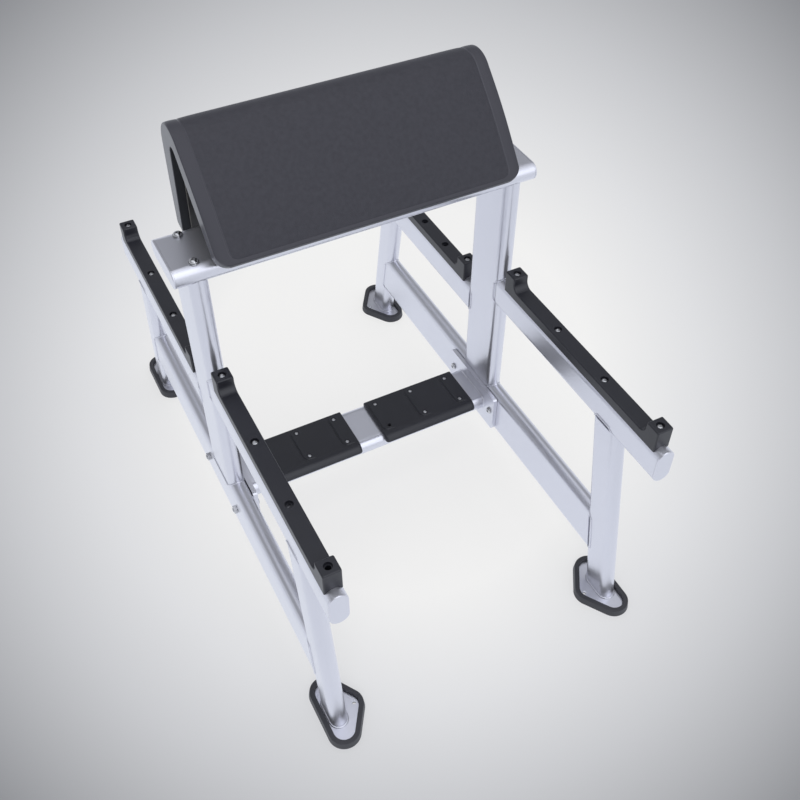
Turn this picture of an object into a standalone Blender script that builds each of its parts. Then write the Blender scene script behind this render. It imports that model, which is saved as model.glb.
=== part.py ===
import math

import bmesh
import bpy
from mathutils import Matrix, Vector

# A free-standing preacher bench. Metres, +Z up, origin on the floor under the middle of the bench.
# X runs along the pad, and the user stands on the -Y side, where the pad slopes down.

# Frame of flat-oval tube
FRAME_SPACING = 0.688
TUBE_THICKNESS = 0.039
TUBE_WALL = 0.0025
RAIL_WIDTH = 0.125
RAIL_BOTTOM = 0.1034
UPRIGHT_WIDTH = 0.132
ARM_WIDTH = 0.0816
ARM_END_PAST_RACK = 0.0193
FRONT_ARM_TOP = 0.5689
REAR_ARM_DROP = 0.1048
LEG_WIDTH = 0.079
LEG_FOOT_Y = 0.5698
LEG_LEAN = math.radians(10.0)
BEAM_WIDTH = 0.137
BEAM_OVERHANG = 0.0485
BEAM_TOP = 0.8514
CAP_THICKNESS = 0.004
CAP_PLUG_DEPTH = 0.012
CAP_EDGE = 0.0012
TOP_PLATE_THICKNESS = 0.008

# Fits: the seam left between pieces, and how far a coped end is trimmed back from its feather edge
SEAM = 0.0003
COPE_TRIM = 0.0077
RAIL_COPE_TRIM = 0.0060
CUT_OVERRUN = 0.01

# Bar racks on the arms
RACK_START = 0.087
RACK_LENGTH = 0.5424
RACK_WIDTH = 0.0366
RACK_HEIGHT_OVER_ARM = 0.0129
RACK_SKIRT = 0.0085
RACK_EDGE = 0.0022
STOP_LENGTH = 0.035
STOP_HEIGHT = 0.0306
STOP_FILLET = 0.016
STOP_SCREW_INSET = 0.0175
RACK_SCREW_OFFSETS = (0.1848, 0.3531)
SHORT_RACK_SCREW_OFFSETS = (0.1248, 0.2320)
RACK_COUNTERBORE = 0.0125
RACK_COUNTERBORE_DEPTH = 0.006
SCREW_HOLE = 0.0065

# Step between the frames
STEP_WIDTH = 0.131
STEP_CENTRE_Z = 0.1674
FLANGE_THICKNESS = 0.010
FLANGE_LENGTH = 0.216
FLANGE_HEIGHT = 0.102
FLANGE_CORNER = 0.008
TREAD_LENGTH = 0.249
TREAD_INNER_X = 0.032
TREAD_THICKNESS = 0.0096
TREAD_REAR_Y = 0.057
TREAD_NOSE_Y = -0.078
TREAD_NOSE_RISE = 0.014
TREAD_NOSE_ROUND = 0.024
TREAD_EDGE = 0.003
TREAD_CORNER = 0.008
TREAD_SCREW_PITCH = 0.0992
TREAD_SCREW_Y = 0.040
TREAD_RECESS = 0.010
TREAD_RECESS_DEPTH = 0.0022
TREAD_GROOVE_WIDTH = 0.0035
TREAD_GROOVE_DEPTH = 0.0012
TREAD_GROOVE_PITCH = 0.1022
TREAD_GROOVE_INSET = 0.0068
TREAD_GROOVE_REAR_Y = 0.047
TREAD_GROOVE_FRONT_Y = -0.052

# Feet: a rubber ring with a floor, and a steel plate that lies inside it
FOOT_CENTRE_Y = 0.5703
FOOT_HALF_LENGTH = 0.0848
FOOT_SIDE_U = 0.0366
FOOT_APEX_U = -0.0675
FOOT_CORNER_RADIUS = 0.0362
FOOT_APEX_RADIUS = 0.0365
RUBBER_RIM = 0.0128
RUBBER_DRAFT = 0.0020
RUBBER_HEIGHT = 0.0184
RUBBER_FLOOR = 0.003
RUBBER_EDGE = 0.0016
FOOT_PLATE_THICKNESS = 0.0055
FOOT_PLATE_EDGE = 0.0008
ANCHOR_HOLE = 0.009
ANCHOR_U = -0.045

# Pad: one padded slab bent over a crown, described by its section in the YZ plane
PAD_LENGTH = 0.637
PAD_CROWN_Y = 0.076
PAD_CROWN_Z = 1.0024
PAD_CROWN_RADIUS = 0.058
PAD_HOLLOW_Y = 0.0680
PAD_HOLLOW_Z = 1.0025
PAD_HOLLOW_RADIUS = 0.0185
PAD_FRONT_LIP_Y = -0.106
PAD_FRONT_LIP_Z = 0.8690
PAD_REAR_LIP_Y = 0.1250
PAD_REAR_LIP_Z = 0.7770
PAD_LIP_RADIUS = 0.0150
PAD_FRONT_BULGE = 0.0055
PAD_REAR_BULGE = 0.0020
PAD_CORNER_RADIUS = 0.028
PAD_REAR_CORNER_RADIUS = 0.068
PAD_EDGE_ROLL = 0.004
PAD_INNER_ROLL = 0.003

# Board and brackets that carry the pad
BOARD_THICKNESS = 0.005
BOARD_END_INSET = 0.0165
BOARD_LIP_INSET = 0.022
BOARD_REAR_LIP_INSET = 0.040
BRACKET_X = 0.205
BRACKET_PLATE = 0.006
BRACKET_FLANGE_WIDTH = 0.036
BRACKET_FOOT_HALF_LENGTH = 0.042
BRACKET_REAR_BOTTOM = 0.9154

# Bolts
BOLT_DIAMETER = 0.010
BOLT_HOLE_CLEARANCE = 0.0004
BOLT_HEAD_DIAMETER = 0.0175
BOLT_HEAD_HEIGHT = 0.0055
BOLT_SOCKET = 0.006
BOLT_SOCKET_DEPTH = 0.003
WASHER_DIAMETER = 0.021
WASHER_THICKNESS = 0.0018
BEAM_BOLT_Y = 0.046
RAIL_BOLT_Y = 0.090
RAIL_BOLT_RISE = 0.003
NUT_WIDTH = 0.017
NUT_HEIGHT = 0.008
BOLT_TIP_LENGTH = 0.002

ARC_STEPS = 10
COPE_STEPS = 11
ROUND_STEPS = 16
NUT_STEPS = 12
HOLE_STEPS = 12
COUNTERBORE_STEPS = 12
SCREW_STEPS = 8
SHARP_ANGLE = math.radians(32.0)

SIDES = (("left", -1), ("right", 1))
ENDS = (("front", -1), ("rear", 1))
X_AXIS = Vector((1, 0, 0))
Y_AXIS = Vector((0, 1, 0))
Z_AXIS = Vector((0, 0, 1))


def clear_scene():
    for thing in list(bpy.data.objects):
        bpy.data.objects.remove(thing, do_unlink=True)


def make_material(name, colour, roughness, metallic):
    material = bpy.data.materials.new(name)
    material.use_nodes = True
    shader = material.node_tree.nodes["Principled BSDF"]
    shader.inputs["Base Color"].default_value = (*colour, 1.0)
    shader.inputs["Roughness"].default_value = roughness
    shader.inputs["Metallic"].default_value = metallic
    material.diffuse_color = (*colour, 1.0)
    return material


def silver_paint():
    return make_material("silver_paint", (0.56, 0.58, 0.62), 0.34, 0.85)


def black_plastic():
    return make_material("black_plastic", (0.028, 0.029, 0.032), 0.48, 0.0)


def black_rubber():
    return make_material("black_rubber", (0.022, 0.023, 0.025), 0.72, 0.0)


def pad_cover():
    return make_material("pad_cover", (0.055, 0.055, 0.066), 0.62, 0.0)


def board_laminate():
    return make_material("board_laminate", (0.020, 0.020, 0.022), 0.55, 0.0)


def bolt_steel():
    return make_material("bolt_steel", (0.44, 0.44, 0.46), 0.26, 1.0)


def add_object(name, bm, matrix=None, material=None):
    bmesh.ops.recalc_face_normals(bm, faces=bm.faces)
    if bm.calc_volume(signed=True) < 0:
        bmesh.ops.reverse_faces(bm, faces=bm.faces)
    mesh = bpy.data.meshes.new(name)
    bm.to_mesh(mesh)
    bm.free()
    thing = bpy.data.objects.new(name, mesh)
    thing.matrix_world = matrix or Matrix.Identity(4)
    bpy.context.scene.collection.objects.link(thing)
    if material:
        mesh.materials.append(material)
    return thing


def bake_modifiers(thing):
    bpy.context.view_layer.update()
    depsgraph = bpy.context.evaluated_depsgraph_get()
    baked = bpy.data.meshes.new_from_object(thing.evaluated_get(depsgraph))
    thing.modifiers.clear()
    thing.data = baked


def combine(thing, tool, operation):
    modifier = thing.modifiers.new(operation.lower(), "BOOLEAN")
    modifier.operation = operation
    modifier.solver = "EXACT"
    modifier.object = tool
    bake_modifiers(thing)
    bpy.data.objects.remove(tool, do_unlink=True)


def cut(thing, tool):
    combine(thing, tool, "DIFFERENCE")


def loft(rings, cyclic=False):
    """Skin a list of rings with the same number of points, closed by caps or into a loop."""
    bm = bmesh.new()
    loops = [[bm.verts.new(point) for point in ring] for ring in rings]
    pairs = list(zip(loops, loops[1:]))
    if cyclic:
        pairs.append((loops[-1], loops[0]))
    for low, high in pairs:
        for index in range(len(low)):
            following = (index + 1) % len(low)
            bm.faces.new((low[index], low[following], high[following], high[index]))
    if not cyclic:
        caps = [bm.faces.new(loops[0]), bm.faces.new(loops[-1])]
        bm.normal_update()
        bmesh.ops.triangulate(bm, faces=caps)
    return bm


def at_height(outline, height):
    return [Vector((u, v, height)) for u, v in outline]


def axes_along(start, end, wide):
    """Matrix at start whose Z runs towards end and whose X is the wide direction."""
    z_axis = (end - start).normalized()
    y_axis = z_axis.cross(wide).normalized()
    x_axis = y_axis.cross(z_axis)
    matrix = Matrix((x_axis, y_axis, z_axis)).transposed().to_4x4()
    matrix.translation = start
    return matrix


def arc(centre_u, centre_v, radius, first, last, steps):
    """Points of an arc, with its angles in degrees."""
    points = []
    for step in range(steps + 1):
        angle = math.radians(first + (last - first) * step / steps)
        points.append((centre_u + radius * math.cos(angle), centre_v + radius * math.sin(angle)))
    return points


def circle(radius, steps=ROUND_STEPS):
    """A round outline whose points lie off the axes, clear of the tubes' own edges."""
    half_step = 180 / steps
    return arc(0, 0, radius, half_step, 360 - half_step, steps - 1)


def flat_oval(width, thickness, inset=0.0, steps=ARC_STEPS):
    """A tube section: two straight sides joined by half circles, wide along its first axis."""
    straight = (width - thickness) / 2
    radius = thickness / 2 - inset
    return arc(straight, 0, radius, -90, 90, steps) + arc(-straight, 0, radius, 90, 270, steps)


def roll(depth, distance):
    """How far a surface has rolled in at a distance from the end it rolls over."""
    if distance >= depth:
        return 0.0
    return depth - math.sqrt(depth * depth - (depth - distance) ** 2)


def prism(name, outline, start, end, wide, material=None):
    length = (end - start).length
    bm = loft([at_height(outline, 0), at_height(outline, length)])
    return add_object(name, bm, axes_along(start, end, wide), material)


def flat_oval_tube(name, start, end, wide, width, material):
    length = (end - start).length
    outer = flat_oval(width, TUBE_THICKNESS)
    bore = flat_oval(width, TUBE_THICKNESS, TUBE_WALL)
    rings = [at_height(outer, 0), at_height(outer, length), at_height(bore, length), at_height(bore, 0)]
    return add_object(name, loft(rings, cyclic=True), axes_along(start, end, wide), material)


def cope(thing, start, end, wide, width, trim=None):
    """Shape the end of a tube to the flat-oval tube it meets, and trim off its feather edge."""
    outline = flat_oval(width, TUBE_THICKNESS, -SEAM, COPE_STEPS)
    if trim is not None:
        reach = (width - TUBE_THICKNESS) / 2 + trim
        right = [point for point in outline if point[0] > reach]
        left = [point for point in outline if point[0] < -reach]
        half = TUBE_THICKNESS
        outline = [(reach, -half), *right, (reach, half), (-reach, half), *left, (-reach, -half)]
    direction = (end - start).normalized() * CUT_OVERRUN
    cut(thing, prism("cope_tool", outline, start - direction, end + direction, wide))


def drill(thing, start, end, diameter, steps=HOLE_STEPS):
    wide = X_AXIS if abs((end - start).normalized().x) < 0.9 else Y_AXIS
    cut(thing, prism("drill_tool", circle(diameter / 2, steps), start, end, wide))


def counterbore(thing, low, floor, wide_diameter):
    """Vertical screw hole from low up to floor, with a wider recess above it."""
    depth = floor.z - low.z
    rings = []
    for diameter, height in ((SCREW_HOLE, 0), (SCREW_HOLE, depth), (wide_diameter, depth),
                             (wide_diameter, depth + CUT_OVERRUN)):
        rings.append(at_height(circle(diameter / 2, COUNTERBORE_STEPS), height))
    cut(thing, add_object("counterbore_tool", loft(rings), Matrix.Translation(low)))


def frame_x(side):
    return side * FRAME_SPACING / 2


def arm_top(end):
    return FRONT_ARM_TOP if end < 0 else FRONT_ARM_TOP - REAR_ARM_DROP


def arm_reach():
    return RACK_START + RACK_LENGTH + ARM_END_PAST_RACK


def arm_line(side, end):
    height = arm_top(end) - ARM_WIDTH / 2
    near = Vector((frame_x(side), end * (UPRIGHT_WIDTH - TUBE_THICKNESS) / 2, height))
    far = Vector((frame_x(side), end * (arm_reach() - CAP_THICKNESS - SEAM), height))
    return near, far


def leg_point(side, end, height):
    return Vector((frame_x(side), end * (LEG_FOOT_Y - height * math.tan(LEG_LEAN)), height))


def leg_line(side, end):
    low = leg_point(side, end, foot_plate_top() - LEG_WIDTH)
    return low, leg_point(side, end, arm_top(end) - ARM_WIDTH / 2)


def rail_centre_z():
    return RAIL_BOTTOM + RAIL_WIDTH / 2


def rail_line(side):
    reach = LEG_FOOT_Y - rail_centre_z() * math.tan(LEG_LEAN)
    return (Vector((frame_x(side), -reach, rail_centre_z())), Vector((frame_x(side), reach, rail_centre_z())))


def beam_centre_z():
    return BEAM_TOP - TUBE_THICKNESS / 2


def beam_line():
    half = FRAME_SPACING / 2 + BEAM_OVERHANG - CAP_THICKNESS - SEAM
    return Vector((-half, 0, beam_centre_z())), Vector((half, 0, beam_centre_z()))


def upright_line(side):
    return Vector((frame_x(side), 0, rail_centre_z())), Vector((frame_x(side), 0, beam_centre_z()))


def foot_plate_top():
    return RUBBER_FLOOR + SEAM + FOOT_PLATE_THICKNESS


def rail_bolt_z():
    return STEP_CENTRE_Z + RAIL_BOLT_RISE


def build_rail(name, side, paint):
    rail = flat_oval_tube(name, *rail_line(side), Z_AXIS, RAIL_WIDTH, paint)
    for _, end in ENDS:
        cope(rail, *leg_line(side, end), Y_AXIS, LEG_WIDTH, COPE_TRIM)
    inner = frame_x(side) - side * TUBE_THICKNESS
    outer = frame_x(side) + side * TUBE_THICKNESS
    for y in (-RAIL_BOLT_Y, RAIL_BOLT_Y):
        hole = BOLT_DIAMETER + 2 * BOLT_HOLE_CLEARANCE
        drill(rail, Vector((inner, y, rail_bolt_z())), Vector((outer, y, rail_bolt_z())), hole)
    return rail


def build_upright(name, side, paint):
    upright = flat_oval_tube(name, *upright_line(side), Y_AXIS, UPRIGHT_WIDTH, paint)
    cope(upright, *rail_line(side), Z_AXIS, RAIL_WIDTH, RAIL_COPE_TRIM)
    cope(upright, *beam_line(), Y_AXIS, BEAM_WIDTH)
    return upright


def build_top_plate(name, side, paint):
    """Tapped plate in the top of an upright, which the beam bolts pull on."""
    outline = flat_oval(UPRIGHT_WIDTH, TUBE_THICKNESS, TUBE_WALL + SEAM)
    top = BEAM_TOP - TUBE_THICKNESS - SEAM
    start = Vector((frame_x(side), 0, top - TOP_PLATE_THICKNESS))
    plate = prism(name, outline, start, start + Z_AXIS * TOP_PLATE_THICKNESS, Y_AXIS, paint)
    for y in (-BEAM_BOLT_Y, BEAM_BOLT_Y):
        low = Vector((frame_x(side), y, top - 2 * TOP_PLATE_THICKNESS))
        drill(plate, low, low + Z_AXIS * 3 * TOP_PLATE_THICKNESS, BOLT_DIAMETER + 2 * BOLT_HOLE_CLEARANCE)
    return plate


def build_arm(name, side, end, paint):
    arm = flat_oval_tube(name, *arm_line(side, end), Z_AXIS, ARM_WIDTH, paint)
    cope(arm, *upright_line(side), Y_AXIS, UPRIGHT_WIDTH, COPE_TRIM)
    top = arm_top(end)
    for offset in rack_screw_offsets(side, end):
        high = Vector((frame_x(side), end * (RACK_START + offset), top + TUBE_WALL))
        drill(arm, high - Z_AXIS * 3 * TUBE_WALL, high, SCREW_HOLE, SCREW_STEPS)
    return arm


def build_leg(name, side, end, paint):
    leg = flat_oval_tube(name, *leg_line(side, end), Y_AXIS, LEG_WIDTH, paint)
    cope(leg, *arm_line(side, end), Z_AXIS, ARM_WIDTH, COPE_TRIM)
    floor_cut = [(-LEG_WIDTH, -LEG_WIDTH), (LEG_WIDTH, -LEG_WIDTH), (LEG_WIDTH, LEG_WIDTH), (-LEG_WIDTH, LEG_WIDTH)]
    under = Vector((frame_x(side), end * LEG_FOOT_Y, -2 * LEG_WIDTH))
    top = Vector((under.x, under.y, foot_plate_top() + SEAM))
    cut(leg, prism("floor_tool", floor_cut, under, top, X_AXIS))
    return leg


def build_beam(name, paint):
    beam = flat_oval_tube(name, *beam_line(), Y_AXIS, BEAM_WIDTH, paint)
    for _, side in SIDES:
        for y in (-BEAM_BOLT_Y, BEAM_BOLT_Y):
            low = Vector((frame_x(side), y, BEAM_TOP - 2 * TUBE_THICKNESS))
            high = Vector((frame_x(side), y, BEAM_TOP + TUBE_THICKNESS))
            drill(beam, low, high, BOLT_DIAMETER + 2 * BOLT_HOLE_CLEARANCE)
    return beam


def build_end_cap(name, seat, direction, wide, width, material):
    """Cap with a rounded rim on the end of a tube, held by a plug in the tube's bore."""
    rim = flat_oval(width, TUBE_THICKNESS)
    face = flat_oval(width, TUBE_THICKNESS, CAP_EDGE)
    plug = flat_oval(width, TUBE_THICKNESS, TUBE_WALL + SEAM)
    rings = [
        at_height(plug, -CAP_PLUG_DEPTH),
        at_height(plug, SEAM),
        at_height(rim, SEAM),
        at_height(rim, SEAM + CAP_THICKNESS - CAP_EDGE),
        at_height(face, SEAM + CAP_THICKNESS),
    ]
    return add_object(name, loft(rings), axes_along(seat, seat + direction, wide), material)


def rack_screw_offsets(side, end):
    middle = SHORT_RACK_SCREW_OFFSETS if side > 0 and end > 0 else RACK_SCREW_OFFSETS
    return (STOP_SCREW_INSET, *middle, RACK_LENGTH - STOP_SCREW_INSET)


def rack_outline(inset):
    """Side view of a rack: a strip with a stop at each end and a fillet inside each stop."""
    seat = RACK_HEIGHT_OVER_ARM - inset
    top = RACK_HEIGHT_OVER_ARM + STOP_HEIGHT - inset
    stop = STOP_LENGTH - inset
    fillet = STOP_FILLET + inset
    half = [(inset, -RACK_SKIRT)]
    half += arc(inset + RACK_EDGE, top - RACK_EDGE, RACK_EDGE, 180, 90, 2)
    half += arc(stop - RACK_EDGE, top - RACK_EDGE, RACK_EDGE, 90, 0, 2)
    half += arc(stop + fillet, seat + fillet, fillet, 180, 270, 6)
    return half + [(RACK_LENGTH - along, height) for along, height in reversed(half)]


def rolled_places(low, high, depth):
    """Places along a piece with rolled edges, each with its distance from the nearer end."""
    steps = [depth * (1 - math.sin(math.radians(angle))) for angle in (90, 45, 0)]
    return [(low + step, step) for step in steps] + [(high - step, step) for step in reversed(steps)]


def build_rack(name, offsets, material):
    """Rack on an arm along +Y whose rounded top lies at the origin's height."""
    seat = RACK_HEIGHT_OVER_ARM
    rings = []
    for x, distance in rolled_places(-RACK_WIDTH / 2, RACK_WIDTH / 2, RACK_EDGE):
        outline = rack_outline(roll(RACK_EDGE, distance))
        rings.append([Vector((x, along, height)) for along, height in outline])
    rack = add_object(name, loft(rings), None, material)
    start = Vector((0, 0, -ARM_WIDTH / 2))
    cope(rack, start, start + Y_AXIS * RACK_LENGTH, Z_AXIS, ARM_WIDTH)
    for offset in offsets:
        in_stop = offset < STOP_LENGTH or offset > RACK_LENGTH - STOP_LENGTH
        face = seat + STOP_HEIGHT if in_stop else seat
        floor = Vector((0, offset, face - RACK_COUNTERBORE_DEPTH))
        counterbore(rack, Vector((0, offset, -TUBE_WALL)), floor, RACK_COUNTERBORE)
    return rack


def rack_matrix(side, end):
    matrix = Matrix.Rotation(0.0 if end > 0 else math.pi, 4, "Z")
    matrix.translation = Vector((frame_x(side), end * RACK_START, arm_top(end)))
    return matrix


def build_step_tube(name, paint):
    reach = FRAME_SPACING / 2 - TUBE_THICKNESS / 2 - FLANGE_THICKNESS - 2 * SEAM
    start = Vector((-reach, 0, STEP_CENTRE_Z))
    tube = flat_oval_tube(name, start, Vector((reach, 0, STEP_CENTRE_Z)), Y_AXIS, STEP_WIDTH, paint)
    top = STEP_CENTRE_Z + TUBE_THICKNESS / 2 + TUBE_WALL
    for _, side in SIDES:
        for x, y in tread_screws(side):
            high = Vector((x, y, top))
            drill(tube, high - Z_AXIS * 3 * TUBE_WALL, high, SCREW_HOLE, SCREW_STEPS)
    return tube


def build_flange(name, side, paint):
    """Plate on the end of the step tube, bolted through the rail."""
    centre = Vector((frame_x(side) - side * (TUBE_THICKNESS / 2 + SEAM), 0, STEP_CENTRE_Z))
    u = FLANGE_LENGTH / 2 - FLANGE_CORNER
    v = FLANGE_HEIGHT / 2 - FLANGE_CORNER
    outline = []
    for corner_u, corner_v, first in ((u, v, 0), (-u, v, 90), (-u, -v, 180), (u, -v, 270)):
        outline += arc(corner_u, corner_v, FLANGE_CORNER, first, first + 90, 4)
    inward = Vector((-side, 0, 0))
    plate = prism(name, outline, centre, centre + inward * FLANGE_THICKNESS, Y_AXIS, paint)
    for y in (-RAIL_BOLT_Y, RAIL_BOLT_Y):
        start = Vector((centre.x, y, rail_bolt_z())) - inward * FLANGE_THICKNESS
        drill(plate, start, start + inward * 3 * FLANGE_THICKNESS, BOLT_DIAMETER + 2 * BOLT_HOLE_CLEARANCE)
    return plate


def tread_low_x(side):
    return TREAD_INNER_X if side > 0 else -TREAD_INNER_X - TREAD_LENGTH


def tread_screws(side):
    middle = tread_low_x(side) + TREAD_LENGTH / 2
    columns = [middle + step * TREAD_SCREW_PITCH for step in (-1, 0, 1)]
    return [(x, y) for x in columns for y in (-TREAD_SCREW_Y, TREAD_SCREW_Y)]


def tread_outline(side_roll, nose_roll):
    """Side view of a tread, from its rear edge over the top to the nose."""
    top = STEP_CENTRE_Z + TUBE_THICKNESS / 2 + TREAD_THICKNESS - side_roll
    rear = TREAD_REAR_Y - side_roll
    nose_z = STEP_CENTRE_Z + TREAD_NOSE_RISE
    outline = [(rear, nose_z)]
    outline += arc(rear - TREAD_EDGE, top - TREAD_EDGE, TREAD_EDGE, 0, 90, 2)
    for u, v in arc(0, 0, 1, 90, 180, 6):
        y = TREAD_NOSE_Y + nose_roll + TREAD_NOSE_ROUND * (1 + u)
        outline.append((y, nose_z + (top - nose_z) * v))
    return outline


def build_tread(name, side, material):
    """Moulded cover that lies on the step tube and rolls over its front edge."""
    top = STEP_CENTRE_Z + TUBE_THICKNESS / 2 + TREAD_THICKNESS
    low = tread_low_x(side)
    high = low + TREAD_LENGTH
    rings = []
    for x, distance in rolled_places(low, high, TREAD_CORNER):
        outline = tread_outline(roll(TREAD_EDGE, distance), roll(TREAD_CORNER, distance))
        rings.append([Vector((x, y, z)) for y, z in outline])
    tread = add_object(name, loft(rings), None, material)
    cope(tread, Vector((low, 0, STEP_CENTRE_Z)), Vector((high, 0, STEP_CENTRE_Z)), Y_AXIS, STEP_WIDTH)
    for x, y in tread_screws(side):
        floor = Vector((x, y, top - TREAD_RECESS_DEPTH))
        counterbore(tread, Vector((x, y, STEP_CENTRE_Z)), floor, TREAD_RECESS)
    half = TREAD_GROOVE_WIDTH / 2
    for step in range(3):
        x = low + TREAD_GROOVE_INSET + step * TREAD_GROOVE_PITCH
        outline = [(x - half, TREAD_GROOVE_FRONT_Y), (x + half, TREAD_GROOVE_FRONT_Y),
                   (x + half, TREAD_GROOVE_REAR_Y), (x - half, TREAD_GROOVE_REAR_Y)]
        start = Vector((0, 0, top - TREAD_GROOVE_DEPTH))
        cut(tread, prism("groove_tool", outline, start, start + Z_AXIS * CUT_OVERRUN, X_AXIS))
    return tread


def tangent(centre_a, radius_a, centre_b, radius_b, outward):
    """Points where a line touches two circles, with radii signed along its outward normal."""
    across = centre_b - centre_a
    along = across.normalized()
    cosine = (radius_a - radius_b) / across.length
    upright = Vector((-along.y, along.x)) * math.sqrt(1 - cosine * cosine)
    normal = along * cosine + upright
    if normal.dot(outward) < 0:
        normal = along * cosine - upright
    return centre_a + normal * radius_a, centre_b + normal * radius_b, normal


def foot_outline(inset):
    """Rounded triangle: a long outer side along Y and an apex towards the middle of the bench."""
    corner_radius = FOOT_CORNER_RADIUS - inset
    apex_radius = FOOT_APEX_RADIUS - inset
    corner_u = FOOT_SIDE_U - FOOT_CORNER_RADIUS
    corner_v = FOOT_HALF_LENGTH - FOOT_CORNER_RADIUS
    apex_u = FOOT_APEX_U + FOOT_APEX_RADIUS
    corner = Vector((corner_u, corner_v))
    normal = tangent(corner, corner_radius, Vector((apex_u, 0)), apex_radius, Vector((0, 1)))[2]
    turn = math.degrees(math.atan2(normal.y, normal.x))
    outline = arc(corner_u, corner_v, corner_radius, 0, turn, 8)
    outline += arc(apex_u, 0, apex_radius, turn, 360 - turn, 8)
    outline += arc(corner_u, -corner_v, corner_radius, 360 - turn, 360, 8)
    return outline


def foot_matrix(side, end):
    """Local X points away from the bench's middle and local Z up."""
    matrix = Matrix.Rotation(0.0 if side > 0 else math.pi, 4, "Z")
    matrix.translation = Vector((frame_x(side), end * FOOT_CENTRE_Y, 0))
    return matrix


def drill_anchor(thing):
    low = Vector((ANCHOR_U, 0, -CUT_OVERRUN))
    drill(thing, low, low + Z_AXIS * (RUBBER_HEIGHT + 2 * CUT_OVERRUN), ANCHOR_HOLE)


def build_rubber(name, material):
    rings = [
        at_height(foot_outline(RUBBER_EDGE / 2), 0),
        at_height(foot_outline(0), RUBBER_EDGE / 2),
        at_height(foot_outline(RUBBER_DRAFT), RUBBER_HEIGHT - RUBBER_EDGE),
        at_height(foot_outline(RUBBER_DRAFT + RUBBER_EDGE), RUBBER_HEIGHT),
        at_height(foot_outline(RUBBER_RIM - FOOT_PLATE_EDGE), RUBBER_HEIGHT),
        at_height(foot_outline(RUBBER_RIM), RUBBER_HEIGHT - FOOT_PLATE_EDGE),
        at_height(foot_outline(RUBBER_RIM), RUBBER_FLOOR),
    ]
    rubber = add_object(name, loft(rings), None, material)
    drill_anchor(rubber)
    return rubber


def build_foot_plate(name, paint):
    rings = [
        at_height(foot_outline(RUBBER_RIM + SEAM), RUBBER_FLOOR + SEAM),
        at_height(foot_outline(RUBBER_RIM + SEAM), foot_plate_top() - FOOT_PLATE_EDGE),
        at_height(foot_outline(RUBBER_RIM + SEAM + FOOT_PLATE_EDGE), foot_plate_top()),
    ]
    plate = add_object(name, loft(rings), None, paint)
    drill_anchor(plate)
    return plate


def bulged(first, last, normal, bulge, steps):
    """Points inside a straight run that swells outward in its middle."""
    points = []
    for step in range(1, steps):
        share = step / steps
        points.append(first.lerp(last, share) + normal * bulge * math.sin(math.pi * share))
    return points


def turn_arc(centre, start_normal, end_normal, radius, steps):
    """Points of an arc between two directions, the short way round."""
    first = math.atan2(start_normal.y, start_normal.x)
    sweep = math.atan2(end_normal.y, end_normal.x) - first
    sweep = (sweep + math.pi) % (2 * math.pi) - math.pi
    points = []
    for step in range(steps + 1):
        angle = first + sweep * step / steps
        points.append(centre + radius * Vector((math.cos(angle), math.sin(angle))))
    return points


def pad_faces(front_rise=0.0, rear_rise=0.0, outer_roll=0.0, inner_roll=0.0):
    """The straight faces of the pad's walls at one place along it, each as high end, low end, normal.

    The rises lift the low ends, as the rounded corners do, and the rolls move the faces into the slab.
    """
    crown = Vector((PAD_CROWN_Y, PAD_CROWN_Z))
    hollow = Vector((PAD_HOLLOW_Y, PAD_HOLLOW_Z))
    walls = (("rear", Vector((PAD_REAR_LIP_Y, PAD_REAR_LIP_Z)), Vector((1, 0)), rear_rise),
             ("front", Vector((PAD_FRONT_LIP_Y, PAD_FRONT_LIP_Z)), Vector((-1, 1)), front_rise))
    faces = {}
    for wall, lip, outward, rise in walls:
        outer = tangent(crown, PAD_CROWN_RADIUS - outer_roll, lip, PAD_LIP_RADIUS - outer_roll, outward)
        inner = tangent(hollow, PAD_HOLLOW_RADIUS + inner_roll, lip, inner_roll - PAD_LIP_RADIUS, outward)
        for key, (high, low, normal) in ((wall + "_outer", outer), (wall + "_inner", inner)):
            faces[key] = (high, low + (high - low).normalized() * rise, normal)
    return faces


def lip(first, last, steps=8):
    """Half circle from one point to another, turning clockwise, without its two ends."""
    middle = (first + last) / 2
    half = first - middle
    tip = Vector((half.y, -half.x))
    points = []
    for step in range(1, steps):
        angle = math.pi * step / steps
        points.append(middle + half * math.cos(angle) + tip * math.sin(angle))
    return points


def pad_section(distance):
    """The pad's closed section at a distance from its end."""
    outer_roll = roll(PAD_EDGE_ROLL, distance)
    inner_roll = roll(PAD_INNER_ROLL, distance)
    faces = pad_faces(roll(PAD_CORNER_RADIUS, distance), roll(PAD_REAR_CORNER_RADIUS, distance),
                      outer_roll, inner_roll)
    rear_high, rear_low, rear_normal = faces["rear_outer"]
    front_high, front_low, front_normal = faces["front_outer"]
    inner_front_low, inner_front_normal = faces["front_inner"][1:]
    inner_rear_low, inner_rear_normal = faces["rear_inner"][1:]
    crown = Vector((PAD_CROWN_Y, PAD_CROWN_Z))
    hollow = Vector((PAD_HOLLOW_Y, PAD_HOLLOW_Z))
    points = [rear_low]
    points += bulged(rear_low, rear_high, rear_normal, PAD_REAR_BULGE, 5)
    points += turn_arc(crown, rear_normal, front_normal, PAD_CROWN_RADIUS - outer_roll, 12)
    points += bulged(front_high, front_low, front_normal, PAD_FRONT_BULGE, 7)
    points += [front_low, *lip(front_low, inner_front_low), inner_front_low]
    points += turn_arc(hollow, inner_front_normal, inner_rear_normal, PAD_HOLLOW_RADIUS + inner_roll, 8)
    points += [inner_rear_low, *lip(inner_rear_low, rear_low)]
    return points


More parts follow.
